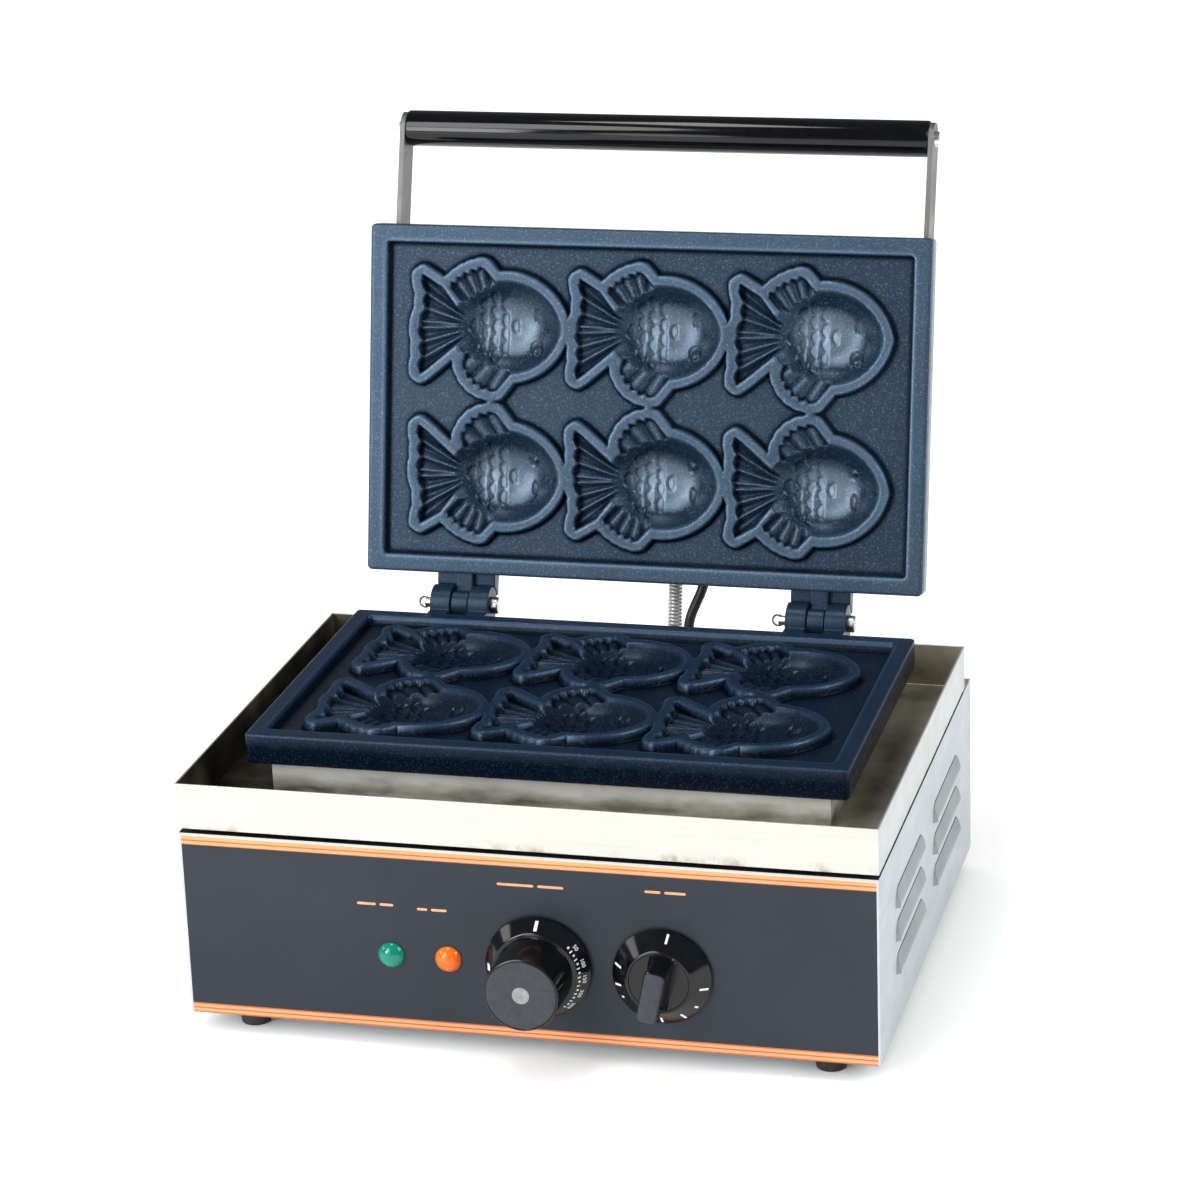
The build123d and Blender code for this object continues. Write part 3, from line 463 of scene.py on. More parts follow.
finishes = {
    "upper_mould": mould_finish("upper_mould_coating", (0.007, 0.018, 0.036), (0.028, 0.051, 0.082),
                                (0.09, 0.12, 0.16), 0.20, 0.31, 0.72, 0.55),
    # painted shade: the lower casting has the upper one's coating, coloured darker
    "lower_mould": mould_finish("lower_mould_coating", (0.002, 0.007, 0.018), (0.006, 0.019, 0.044),
                                (0.035, 0.06, 0.10), 0.20, 0.32, 0.72),
    "hinge": mould_finish("hinge_coating", (0.006, 0.014, 0.027), (0.010, 0.022, 0.040),
                          (0.03, 0.05, 0.08), 0.18, 0.30, 0.6),
    "panel": panel_finish(),
    "tray": tray_finish(),
    "housing": housing_finish(),
    "box": box_finish(),
    "cover": steel_finish("cover_sheet", (0.56, 0.55, 0.53), (0.68, 0.67, 0.65), 0.25, 0.42, (0.1, 2, 2)),
    "zinc": steel_finish("zinc_plate", (0.55, 0.55, 0.53), (0.75, 0.75, 0.72), 0.22, 0.4),
    "arm": steel_finish("arm_bar", (0.12, 0.118, 0.11), (0.20, 0.197, 0.187), 0.36, 0.5, (1, 0.15, 1), 0.6),
    "wire": steel_finish("spring_wire", (0.62, 0.60, 0.55), (0.84, 0.83, 0.79), 0.25, 0.42, metallic=0.5),
    "element": steel_finish("element_sheath", (0.10, 0.09, 0.08), (0.24, 0.21, 0.18), 0.45, 0.65),
    "rubber": plastic_finish("foot_rubber", (0.012, 0.012, 0.013), (0.028, 0.028, 0.03), 0.6, 0.8),
    "lead": plastic_finish("lead_sheath", (0.010, 0.010, 0.012), (0.022, 0.022, 0.025), 0.35, 0.55),
    "black": plastic_finish("black_moulding", (0.018, 0.018, 0.02), (0.035, 0.035, 0.038), 0.45, 0.6),
    "knob": plastic_finish("knob_gloss", (0.002, 0.002, 0.003), (0.004, 0.005, 0.007), 0.08, 0.16,
                           Specular_IOR_Level=0.38),
    "knob_face": plastic_finish("knob_satin", (0.030, 0.036, 0.045), (0.042, 0.049, 0.060), 0.34, 0.46,
                                Specular_IOR_Level=0.3),
    "centre": plastic_finish("knob_centre", (0.20, 0.21, 0.22), (0.30, 0.31, 0.32), 0.3, 0.45),
    "marks": plastic_finish("mark_paint", (0.78, 0.79, 0.80), (0.90, 0.90, 0.90), 0.4, 0.55),
    "print": plastic_finish("orange_print", (0.70, 0.30, 0.15), (0.86, 0.42, 0.23), 0.4, 0.5),
    "grip": plastic_finish("grip_gloss", (0.001, 0.001, 0.002), (0.002, 0.003, 0.004), 0.07, 0.13,
                           Specular_IOR_Level=0.36),
    "green": plastic_finish("green_lens", (0.0, 0.15, 0.095), (0.0, 0.27, 0.18), 0.06, 0.12, 60, 0.02,
                            Emission_Color=(0.0, 0.55, 0.36, 1), Emission_Strength=0.03),
    "orange": plastic_finish("orange_lens", (0.78, 0.11, 0.004), (0.92, 0.20, 0.012), 0.06, 0.12, 60, 0.02,
                             Emission_Color=(1.0, 0.24, 0.02, 1), Emission_Strength=0.06),
    "fibre": plastic_finish("mineral_fibre", (0.62, 0.60, 0.54), (0.82, 0.80, 0.74), 0.85, 0.95, 400, 0.5),
    "copper": steel_finish("copper_bulb", (0.48, 0.25, 0.14), (0.66, 0.38, 0.24), 0.28, 0.4),
}

# ---- fish moulds ----
grid_step = 0.8
slab_corner = 3
edge_round = 1.6
rim_width = 10
rim_wall = 1.8
recess_depth = 6
ridge_width = 6.8
ridge_wall = 1.6
ridge_crown = 0.25
fin_depth = 4.6
fin_wall = 1.4
crest_reach = 1.6
crest_height = 1.3
belly_depth = 12
belly_half_length = 35.5
belly_half_width = 29
belly_middle = 13.5
fish_columns = (-101.5, -1.5, 98.5)
fish_rows = ((plate_y - 46, 1), (plate_y + 46, -1))
fish_reach_u = 60
fish_reach_v = 52


def smooth(value):
    """0 to 1 with soft ends."""
    value = np.clip(value, 0, 1)
    return value * value * (3 - 2 * value)


def scalloped(start, end, bulge, waves, depth, steps=5):
    """Curved edge from start to end that bulges to its left, pinched between its waves."""
    start, end = np.array(start, float), np.array(end, float)
    way = end - start
    left = np.array((-way[1], way[0])) / np.linalg.norm(way)
    count = waves * steps
    edge = []
    for k in range(count + 1):
        t = k / count
        out = 4 * bulge * t * (1 - t) + depth * (abs(sin(pi * waves * t)) - 1)
        edge.append(start + way * t + left * out)
    return edge


def fin_outlines(pinch):
    """Tail, tall fin and low fin of one fish, nose to +u and the tall fin to +v. pinch 1 draws the
    scalloped edges of the pockets, and less of it the calmer outline that the lip follows."""
    tail = [(-4, 2), (-17.7, 11.6), (-37, 27.8), (-41, 30.6),
            *scalloped((-44, 0), (-43.9, 29.2), -1.6, 3, 1.9 * pinch)[::-1],
            *scalloped((-42.8, -30.2), (-44, 0), -3.2, 3, 1.9 * pinch)[::-1],
            (-39.8, -31.6), (-35.6, -29.2), (-27, -24), (-16, -10), (-4, -2)]
    tall = [(-10, 6), *scalloped((-15.5, 22.5), (7.5, 40.5), 5.6, 5, 1.9 * pinch), (17.5, 28), (6, 12)]
    low = [(-8, -6), *scalloped((-1, -37.4), (-24, -24.5), 2.6, 5, 1.7 * pinch)[::-1], (8, -27), (6, -12)]
    return tail, tall, low


pocket_outlines = fin_outlines(1)
lip_outlines = fin_outlines(0.5)


def to_outline(u, v, outline):
    """Signed distance to a closed outline, negative inside."""
    outline = np.array(outline, float)
    best = np.full(u.shape, 1e9)
    inside = np.zeros(u.shape, bool)
    for (au, av), (bu, bv) in zip(outline, np.roll(outline, -1, axis=0)):
        eu, ev = bu - au, bv - av
        t = np.clip(((u - au) * eu + (v - av) * ev) / (eu * eu + ev * ev + 1e-9), 0, 1)
        best = np.minimum(best, (u - au - t * eu) ** 2 + (v - av - t * ev) ** 2)
        crosses = (av > v) != (bv > v)
        slope = eu * (v - av) / (ev if abs(ev) > 1e-9 else 1e-9) + au
        inside ^= crosses & (u < slope)
    return np.where(inside, -1, 1) * np.sqrt(best)


body_arc = (belly_half_length**2 + belly_half_width**2) / (2 * belly_half_width)


def to_body(u, v):
    """Signed distance to the lens-shaped body."""
    along = np.abs(u - belly_middle)
    across = np.abs(v)
    lens = np.hypot(along, across + body_arc - belly_half_width) - body_arc
    return np.where(along < belly_half_length + 1, lens, np.maximum(lens, along - belly_half_length))


sag_radius = (belly_half_length**2 + belly_depth**2) / (2 * belly_depth)
belly_radius = (belly_half_width**2 + belly_depth**2) / (2 * belly_depth)


def belly(u, v):
    """Depth of the domed belly, steeper at its edge than a plain spindle."""
    sag = np.sqrt(np.maximum(sag_radius**2 - (u - belly_middle) ** 2, 0)) - sag_radius + belly_depth
    reach = belly_radius - belly_depth + sag
    depth = np.sqrt(np.maximum(reach**2 - v**2, 0)) - belly_radius + belly_depth
    share = np.clip(depth / belly_depth, 0, 1)
    return belly_depth * (1 - (1 - share) ** 1.45)


def fanned(u, v, origin, period, offset=0.0):
    """Place across each rib that fans out from origin: 0 at a rib's middle, 1 in the groove beside it."""
    angle = np.degrees(np.arctan2(v - origin[1], u - origin[0]))
    return np.abs((angle - offset) / period % 1 * 2 - 1)


def sausage(across):
    """Round-backed rib: 0 along its back, 1 in the narrow groove."""
    return 1 - np.sqrt(np.maximum(1 - across**2, 0))


def line_ridge(distance, width):
    return np.exp(-((distance / width) ** 2))


def part_arc(u, v, centre, radius, start, end, width):
    """Ridge along an arc between two angles in degrees, with faded ends."""
    angle = np.degrees(np.arctan2(v - centre[1], u - centre[0])) % 360
    middle, half = (start + end) / 2 % 360, (end - start) / 2
    off = np.abs((angle - middle + 180) % 360 - 180)
    fade = smooth((half - off) / 14)
    return line_ridge(np.hypot(u - centre[0], v - centre[1]) - radius, width) * fade


scale_radius = 5.6
scale_pitch_u = 6.6
scale_pitch_v = 8.8
scale_relief = 1.6
scale_edge = 0.55


def scales(u, v):
    """Overlapping scales between the tail and the gills, each deepest at its edge toward the tail."""
    relief = np.zeros(u.shape)
    for column in range(5):
        for k in range(-3, 4):
            sway = sin(7.3 * column + 3.1 * k)
            centre_u = -6.5 + column * scale_pitch_u + 0.6 * sway
            centre_v = (k + 0.5 * (column % 2)) * scale_pitch_v + 0.5 * cos(5.7 * column - 2.3 * k)
            if abs(centre_v) > 18.5 - 0.09 * (centre_u - 6) ** 2:
                continue
            radius = scale_radius + 0.35 * sway
            away = np.hypot(u - centre_u, (v - centre_v) / 0.92)
            tilt = 0.5 + 0.5 * (centre_u - u) / radius
            rear = smooth(((centre_u - u) / (away + 0.01) + 0.35) / 0.8)
            relief = np.maximum(relief, tilt**2 * rear * smooth((radius - away) / scale_edge))
    return scale_relief * relief


def front_head(u, v):
    """Relief of a front fish's head: a ringed eye with its pupil, and an arc on the cheek."""
    eye_u, eye_v = 31.5, 13
    ring = np.hypot((u - eye_u) / 0.85, v - eye_v)
    relief = smooth((6.6 - ring) / 0.9) - line_ridge(ring - 5.6, 0.7)
    relief -= 1.5 * smooth((3.6 - np.hypot(u - eye_u - 0.4, v - eye_v - 1.6)) / 1.6)
    relief += 0.9 * line_ridge(np.hypot(u - eye_u - 0.4, v - eye_v - 2.2), 1.1)
    return relief + 0.9 * part_arc(u, v, (37.5, -7.5), 7.2, 140, 220, 0.9)


def back_head(u, v):
    """Relief of a back fish's head: a small eye with an arc, a slot on the cheek, and the mouth's line."""
    eye = (31.5, 10.4)
    relief = -1.2 * line_ridge(np.hypot(u - eye[0], v - eye[1]), 1.7)
    relief += 0.9 * part_arc(u, v, eye, 2.9, 150, 330, 0.8)
    slot = np.hypot((u - 31.7) / 2.1, (v + 7.4) / 5.6)
    relief += 1.5 * smooth((1 - slot) / 0.35)
    relief -= 0.9 * line_ridge(np.hypot(u - 31.9, (v + 6) / 2.2), 0.9)
    return relief + 0.7 * line_ridge(v + 1, 0.9) * smooth((u - 42) / 2) * smooth((48.5 - u) / 2)


def fish_depth(u, v, row):
    """Depth of one fish below the rim of the casting, and its distance to the plain outline."""
    edges = [to_outline(u, v, outline) for outline in pocket_outlines]
    body = to_body(u, v)
    lip = np.minimum(body, np.minimum.reduce([to_outline(u, v, outline) for outline in lip_outlines]))
    floors = (fin_depth - 0.9 + 2.9 * np.sin(pi / 2 * (1 - fanned(u, v, (-5, 0), 13.6))),
              fin_depth - 1.5 + 2.8 * sausage(fanned(u, v, (30, -8), 12.2, 1)),
              fin_depth - 1.5 + 2.6 * sausage(fanned(u, v, (5, 2), 12.4, 3)))
    depth = np.maximum.reduce([floor * smooth(-edge / fin_wall) for floor, edge in zip(floors, edges)])
    dome = belly(u, v) * (body < 0)
    blend_width = 0.9
    mixed = smooth((dome - depth) / (2 * blend_width) + 0.5)
    depth = depth * (1 - mixed) + dome * mixed
    depth = depth + scales(u, v) * smooth((dome - 5) / 2)
    depth = depth + (front_head(u, v) if row == 0 else back_head(u, v))
    return depth, lip


def to_box(x, y, half_x, half_y, corner):
    dx = np.abs(x) - half_x + corner
    dy = np.abs(y) - half_y + corner
    return np.hypot(np.maximum(dx, 0), np.maximum(dy, 0)) + np.minimum(np.maximum(dx, dy), 0) - corner


def mould_depths(x, y):
    """How far each point of the casting lies below its rim."""
    half_y = (plate_back_y - plate_front_y) / 2
    inner = to_box(x, y - plate_y, plate_half - rim_width, half_y - rim_width, 3)
    recess = recess_depth * smooth(-inner / rim_wall)
    nearest = np.full(x.shape, 1e3)
    fish = np.zeros(x.shape)
    for row, (row_y, side) in enumerate(fish_rows):
        for column_x in fish_columns:
            u = x - column_x
            v = (y - row_y) * side
            near = (np.abs(u) < fish_reach_u) & (np.abs(v) < fish_reach_v)
            depth, gap = fish_depth(u[near], v[near], row)
            nearest[near] = np.minimum(nearest[near], gap)
            fish[near] = np.maximum(fish[near], depth)
    outside = smooth((nearest - ridge_width + ridge_wall) / ridge_wall)
    crown = ridge_crown * np.clip(np.abs(2 * nearest / ridge_width - 1), 0, 1) ** 3 * (nearest < ridge_width)
    return np.maximum(np.maximum(recess * outside, crown), fish)


def averaged(grid, reach):
    """Mean of a grid over a square window that reaches so many cells each way."""
    for axis in (0, 1):
        widths = [(0, 0), (0, 0)]
        widths[axis] = (reach + 1, reach)
        total = np.cumsum(np.pad(grid, widths, mode="edge"), axis=axis)
        high = np.take(total, range(2 * reach + 1, total.shape[axis]), axis=axis)
        low = np.take(total, range(total.shape[axis] - 2 * reach - 1), axis=axis)
        grid = (high - low) / (2 * reach + 1)
    return grid


def slab(face_z, back_z):
    """Closed casting with a sculpted face, and the crest of each point, from -1 in grooves to 1 on edges.
    The points of the face come first."""
    inward = 1 if back_z > face_z else -1
    low_x, high_x = -plate_half + slab_corner, plate_half - slab_corner
    low_y, high_y = plate_front_y + slab_corner, plate_back_y - slab_corner
    step = grid_step
    xs = np.linspace(low_x, high_x, int((high_x - low_x) / step) + 1)
    ys = np.linspace(low_y, high_y, int((high_y - low_y) / step) + 1)
    x, y = np.meshgrid(xs, ys)
    depth = mould_depths(x, y)
    face = np.stack([x, y, face_z + inward * depth], -1).reshape(-1, 3)
    index = np.arange(x.size).reshape(x.shape)
    quads = np.stack([index[:-1, :-1], index[:-1, 1:], index[1:, 1:], index[1:, :-1]], -1).reshape(-1, 4)
    # the border, walked once round, with its corner points repeated so that they can fan out
    corner_steps = 5
    border, normals = [], []
    sides = [(index[0, :], -90), (index[:, -1], 0), (index[-1, ::-1], 90), (index[::-1, 0], 180)]
    for walk, heading in sides:
        for k in range(corner_steps):
            border.append(walk[0])
            normals.append(heading - 90 + 90 * k / corner_steps)
        for i in walk[:-1]:
            border.append(i)
            normals.append(heading)
    border = np.array(border)
    way = np.radians(np.array(normals, float))
    outward = np.stack([np.cos(way), np.sin(way)], -1)
    thick = abs(back_z - face_z)
    levels = [(slab_corner - edge_round + edge_round * sin(a), edge_round * (1 - cos(a)))
              for a in np.radians((0, 22, 45, 67, 90))]
    levels += [(slab_corner, thick - edge_round)]
    levels += [(slab_corner - edge_round + edge_round * cos(a), thick - edge_round * (1 - sin(a)))
               for a in np.radians((30, 60, 90))]
    points = [face]
    loops = [border]
    start = len(face)
    base = face[border]
    for out, down in levels:
        ring = base.copy()
        ring[:, :2] += outward * out
        ring[:, 2] = face_z + inward * down
        points.append(ring)
        loops.append(np.arange(start, start + len(ring)))
        start += len(ring)
    faces = quads.tolist()
    for inner, outer in zip(loops[:-1], loops[1:]):
        after_in, after_out = np.roll(inner, -1), np.roll(outer, -1)
        for a, b, c, d in zip(inner, after_in, after_out, outer):
            faces.append((a, b, c, d) if a != b else (a, c, d))
    faces.append(tuple(loops[-1]))
    points = np.concatenate(points)
    crest = np.zeros(len(points))
    smoothed = averaged(averaged(depth, round(crest_reach / step)), round(crest_reach / step))
    crest[: depth.size] = np.clip((smoothed - depth) / crest_height, -1, 1).ravel()
    return points, [tuple(int(i) for i in face) for face in faces], crest


def make_mould(name, face_z, back_z, finish, body, node):
    points, faces, crest = slab(face_z, back_z)
    casting = piece(name, points, faces, finishes[finish], body, "mould", (node,), sharp=0)
    for measure, values in (("depth", np.abs(points[:, 2] - face_z) * MM), ("crest", crest)):
        attribute = casting.data.attributes.new(measure, "FLOAT", "POINT")
        attribute.data.foreach_set("value", values.astype(np.float32))


def make_moulds():
    make_mould("lower_mould_casting", parting_z, lower_back_z, "lower_mould", "base", "lower_mould_plate")
    make_mould("upper_mould_casting", upper_face_z, upper_back_z, "upper_mould", "lid", "upper_mould_plate")


# ---- hinges ----
hinge_centres = (-112, 112)
hinge_span = 37
lug_width = 11
lug_gap = 0.3
knuckle_radius = 11.5
lug_radius = 10
block_reach = 5.5
web_setback = 5


def make_hinges():
    knuckle_width = (hinge_span - lug_width) / 2 - lug_gap
    root_y = plate_back_y - 3
    shoulder_z = parting_z - 0.6
    knuckle = [(root_y, lower_back_z + 1), (root_y, shoulder_z), (hinge_y - knuckle_radius, shoulder_z),
               *arc((hinge_y, parting_z), knuckle_radius, 180, -90, 24),
               (hinge_y - 4, parting_z - knuckle_radius), (plate_back_y + 1, lower_back_z + 1)]
    # the outline passes the pin's top, so the straight part only runs to the barrel's front
    lug = [(root_y, upper_face_z + 1), (hinge_y - 0.8 * lug_radius, upper_face_z + 1),
           *arc((hinge_y, parting_z), lug_radius, 217, 450, 24),
           (plate_back_y + block_reach, upper_back_z - 3), (root_y, upper_back_z - 3)]
    # a hood over the barrels, set back from the lid's face, so that nothing shows through above the ears
    web = [(root_y, upper_face_z + web_setback),
           *arc((hinge_y, parting_z), knuckle_radius + 0.6, 154, 112, 10),
           (hinge_y - 4.5, upper_back_z - 3), (plate_back_y + block_reach, upper_back_z - 2.4),
           (root_y, upper_back_z - 0.2)]
    ears, lugs = [], []
    for centre in hinge_centres:
        ears.append(prism(knuckle, centre - hinge_span / 2, centre - hinge_span / 2 + knuckle_width))
        ears.append(prism(knuckle, centre + hinge_span / 2 - knuckle_width, centre + hinge_span / 2))
        lugs.append(prism(lug, centre - lug_width / 2, centre + lug_width / 2))
        lugs.append(prism(web, centre - hinge_span / 2, centre + hinge_span / 2))
    bevelled(piece("hinge_ears", *merged(ears), finishes["hinge"], "base", "mould"), 1.1)
    bevelled(piece("hinge_lugs", *merged(lugs), finishes["hinge"], "lid", "mould"), 1.1)


# ---- carried-over nodes ----
def dress(node, finish, width=0.3):
    """Gives a node of the model its finish and small rounded edges."""
    thing = frame["nodes"][node]
    for slot_place in thing.material_slots:
        slot_place.material = finishes[finish]
    if width:
        weld = thing.modifiers.new("weld", "WELD")
        weld.merge_threshold = 0.00001
        bevelled(thing, width, 2)


# finish, width of the rounded edges in millimetres, and the nodes that get them
node_finishes = (
    ("housing", 0.4, ("base_housing",)), ("housing", 0, ("bottom_plate",)), ("panel", 0, ("control_panel",)),
    ("tray", 0.4, ("drip_tray",)), ("box", 0.5, ("lower_heater_box",)), ("cover", 0.4, ("lid_cover",)),
    ("rubber", 0.8, ("foot_front_left", "foot_front_right", "foot_back_left", "foot_back_right")),
    ("rubber", 0.5, ("housing_gland", "lid_gland")), ("rubber", 0, ("wiring_grommet",)),
    ("fibre", 0, ("lower_insulation_pad", "upper_insulation_pad")),
    ("element", 0, ("lower_heating_element", "upper_heating_element")),
    ("copper", 0, ("thermostat_bulb",)), ("green", 0, ("green_lamp_lens",)),
    ("orange", 0, ("orange_lamp_lens",)), ("arm", 0, ("handle_arm_left", "handle_arm_right")),
    ("black", 0, ("thermostat_switch", "timer_switch", "green_lamp_body", "orange_lamp_body")),
    ("black", 0.5, ("mains_inlet", "terminal_block")),
    ("zinc", 0, ("split_rings", "hinge_pin_left", "hinge_pin_right", "temperature_shaft", "timer_shaft",
                 "handle_rod")),
    ("zinc", 0.2, ("foot_screws",)), ("zinc", 0.3, ("arm_screws", "grip_screws")),
)


def dress_nodes():
    for finish, width, nodes in node_finishes:
        for node in nodes:
            dress(node, finish, width)


# ---- grip ----
def make_grip():
    end_round = 1.5
    length = 2 * cover_half
    profile = [(4.2, 0), (grip_radius - end_round, 0)]
    profile += [(grip_radius - end_round + end_round * sin(a), end_round * (1 - cos(a)))
                for a in np.radians((30, 60, 90))]
    profile += [(r, length - h) for r, h in profile[::-1]]
    segments = 96
    loops = []
    for radius, along in profile:
        loops.append([(-cover_half + along, grip_y + radius * cos(2 * pi * k / segments),
                       grip_z + radius * sin(2 * pi * k / segments)) for k in range(segments)])
    points, faces = loft(loops, closed_ends=False)
    last = len(points) - segments
    for i in range(segments):
        j = (i + 1) % segments
        faces.append((i, j, last + j, last + i))
    piece("grip_tube", points, faces, finishes["grip"], "lid", "grip_plastic", ("handle_grip",))


# ---- knobs ----
mark_lift = 0.12


def ring_mark(x, angle, inner, outer, inner_height, outer_height, width):
    """Thin bar from the inner to the outer radius of a turned face; angle is clockwise from the top."""
    way = Vector((sin(radians(angle)), 0, cos(radians(angle))))
    across = Vector((way.z, 0, -way.x)) * width / 2
    centre = Vector((x, front_y, control_z))
    low, high = [], []
    for radius, height, sign in ((inner, inner_height, -1), (inner, inner_height, 1),
                                 (outer, outer_height, 1), (outer, outer_height, -1)):
        point = centre + way * radius + across * sign
        low.append(tuple(point + Vector((0, -height + 0.15, 0))))
        high.append(tuple(point + Vector((0, -height - mark_lift, 0))))
    return loft([low, high])


def skirt_rise(foot, top):
    """Slope of a knob's skirt; foot and top are (radius, height)."""
    return (top[1] - foot[1]) / (foot[0] - top[0])


def skirt_height(radius, foot, top):
    return foot[1] + (foot[0] - radius) * skirt_rise(foot, top)


def skirt_mark(x, angle, inner, outer, width, foot, top):
    """Thin bar on a knob's skirt."""
    return ring_mark(x, angle, inner, outer, skirt_height(inner, foot, top), skirt_height(outer, foot, top),
                     width)


def numbers(name, x, entries, radius, height, tilt, size, body):
    """Plain numbers round a dial whose face leans outward by tilt degrees; entries hold (text, angle
    clockwise from the top)."""
    parts = []
    for text, angle in entries:
        curve = bpy.data.curves.new(name, "FONT")
        curve.body = text
        curve.size = size * MM
        curve.align_x = "CENTER"
        curve.align_y = "CENTER"
        curve.extrude = 0.12 * MM
        curve.resolution_u = 3
        thing = placed(name, curve)
        bpy.context.view_layer.update()
        mesh = bpy.data.meshes.new_from_object(thing)
        way = radians(angle)
        place = (Matrix.Translation(((x + radius * sin(way)) * MM, (front_y - height) * MM,
                                     (control_z + radius * cos(way)) * MM))
                 @ Matrix.Rotation(way, 4, "Y") @ Matrix.Rotation(radians(90 - tilt), 4, "X"))
        mesh.transform(place)
        points = np.array([v.co for v in mesh.vertices]) / MM
        parts.append((points, [tuple(p.vertices) for p in mesh.polygons]))
        bpy.data.objects.remove(thing)
        bpy.data.curves.remove(curve)
        bpy.data.meshes.remove(mesh)
    return piece(name, *merged(parts), finishes["marks"], body, "knob_plastic", sharp=30)


def knob_part(name, profile, x, finish, body, replaced=()):
    piece(name, *turned(profile, x, control_z), finishes[finish], body, "knob_plastic", replaced, sharp=35)


def make_temperature_knob():
    x = temperature_x
    gap = 0.5
    skirt = [(3.1, gap), (29.6, gap), (30.3, gap + 0.6), (30.5, gap + 1.4), (30.3, 3.2), (29.6, 3.8),
             (24.4, 10.4), (23.6, 10.9), (22.6, 11.0)]
    hub = [(22.0, 11.2), (21.7, 11.8), (21.5, 38.8), (21.3, 39.5), (20.8, 39.9), (20.2, 39.95)]
    face = [(20.2, 39.95), (19.9, 39.7), (7.2, 39.5), (6.8, 39.2), (6.2, 39.15), (5.8, 39.5), (0.0, 39.5)]
    knob_part("temperature_knob_body", skirt + hub + face, x, "knob", "temperature_control",
              ("temperature_knob",))
    cap = [(0.0, 39.55), (19.9, 39.72), (19.9, 39.82), (19.6, 39.88), (5.6, 39.88), (5.2, 39.72),
           (0.0, 39.72)]
    knob_part("temperature_knob_cap", cap, x, "knob_face", "temperature_control")
    dot = [(0.0, 39.6), (4.9, 39.6), (4.9, 39.9), (4.6, 40.0), (3.9, 40.0), (3.6, 39.85), (0.0, 39.8)]
    knob_part("temperature_knob_centre", dot, x, "centre", "temperature_control")
    slope = (29.4, 4.05), (24.6, 10.15)
    marks = [skirt_mark(x, 2, 25.2, 29.2, 1.9, *slope), skirt_mark(x, 270, 26.4, 28.4, 4.2, *slope)]
    for k in range(16):
        inner, width = (24.7, 0.75) if k % 2 else (25.1, 1.1)
        marks.append(skirt_mark(x, 50 + k * 6, inner, 26.0, width, *slope))
    piece("temperature_marks", *merged(marks), finishes["marks"], "temperature_control", "knob_plastic")
    entries = (("50", 56), ("100", 76), ("150", 96), ("200", 116), ("250", 136))
    radius, size = 27.6, 3.6
    tilt = degrees(atan2(skirt_rise(*slope), 1))
    numbers("temperature_numbers", x, entries, radius, skirt_height(radius, *slope) + 0.02, tilt, size,
            "temperature_control")


# middle x, z and lengths of the dashes
label_dashes = ((-86, 87.6, (11, 8)), (-53, 86.4, (6, 9)), (4.6, 105.2, (21, 15)), (81.3, 106.7, (9, 12)))


def make_panel_marks():
    """Plain printed dashes over the lamps and the knobs."""
    parts = []
    for x, z, dashes in label_dashes:
        gap, half_height = 2.2, 0.75
        left = x - (sum(dashes) + gap * (len(dashes) - 1)) / 2
        for dash in dashes:
            outline = [*arc((left + dash - half_height, z), half_height, -90, 90, 8),
                       *arc((left + half_height, z), half_height, 90, 270, 8)]
            parts.append(loft([[(px, front_y + 0.1, pz) for px, pz in outline],
                               [(px, front_y - 0.08, pz) for px, pz in outline]]))
            left += dash + gap
    piece("panel_label_dashes", *merged(parts), finishes["print"], "base", "panel")


def make_timer_knob():
    x = timer_x
    gap = 0.5
    profile = [(3.1, gap), (27.4, gap), (28.0, gap + 0.5), (28.2, gap + 1.2), (28.1, 2.4), (27.6, 2.9),
               (19.2, 10.2), (18.7, 10.7), (18.0, 11.0), (17.2, 11.0), (16.8, 10.7), (0.0, 10.7)]
    knob_part("timer_knob_body", profile, x, "knob", "timer_control", ("timer_knob",))
    # the raised bar: a tall rounded block, narrower at its top
    turn = radians(-12)
    for name, finish, levels in (
            ("timer_knob_bar", "knob", ((10.5, 17.6, 8.0), (12.0, 16.8, 6.6), (16.0, 16.0, 5.6),
                                        (28.6, 15.4, 5.8), (30.2, 15.2, 5.8), (30.7, 14.6, 5.4),
                                        (30.8, 13.8, 4.8))),
            ("timer_knob_bar_face", "knob_face", ((30.6, 14.4, 5.0), (30.9, 14.4, 5.0), (31.0, 14.1, 4.7)))):
        loops = []
        for height, half_long, half_wide in levels:
            corner = half_wide * 0.5
            outline = []
            for start, cu, cv in ((0, 1, 1), (90, -1, 1), (180, -1, -1), (270, 1, -1)):
                centre = (cu * (half_wide - corner), cv * (half_long - corner))
                outline += arc(centre, corner, start, start + 90, 6)
            loops.append([(x + a * cos(turn) - b * sin(turn), front_y - height,
                           control_z + a * sin(turn) + b * cos(turn)) for a, b in outline])
        piece(name, *loft(loops), finishes[finish], "timer_control", "knob_plastic", sharp=30)
    marks = []
    for angle in (10, 285, 258, 240, 100, 128, 150, 180, 205):
        inner, outer = (24.2, 26.0) if angle in (240, 128) else (22.6, 26.9)
        marks.append(skirt_mark(x, angle, inner, outer, 1.3, (27.6, 2.9), (19.2, 10.2)))
    piece("timer_marks", *merged(marks), finishes["marks"], "timer_control", "knob_plastic")


# ---- leads at the back ----
lean = open_angle - pi / 2
leads_y = 143.9
leads_top_z = 191.6
conduit_x = 16.7
conduit_outer = 4.65
conduit_wire = 2.0
conduit_turns = 24
lead_radius = 3.2
lead_x = 25.7
lead_top_x = 35


def lead_point(x, along, out=0.0):
    """Point on the leads' leaning line, along in millimetres from the housing's top."""
    return (x, leads_y + along * sin(lean) - out * cos(lean), body_top + along * cos(lean) + out * sin(lean))


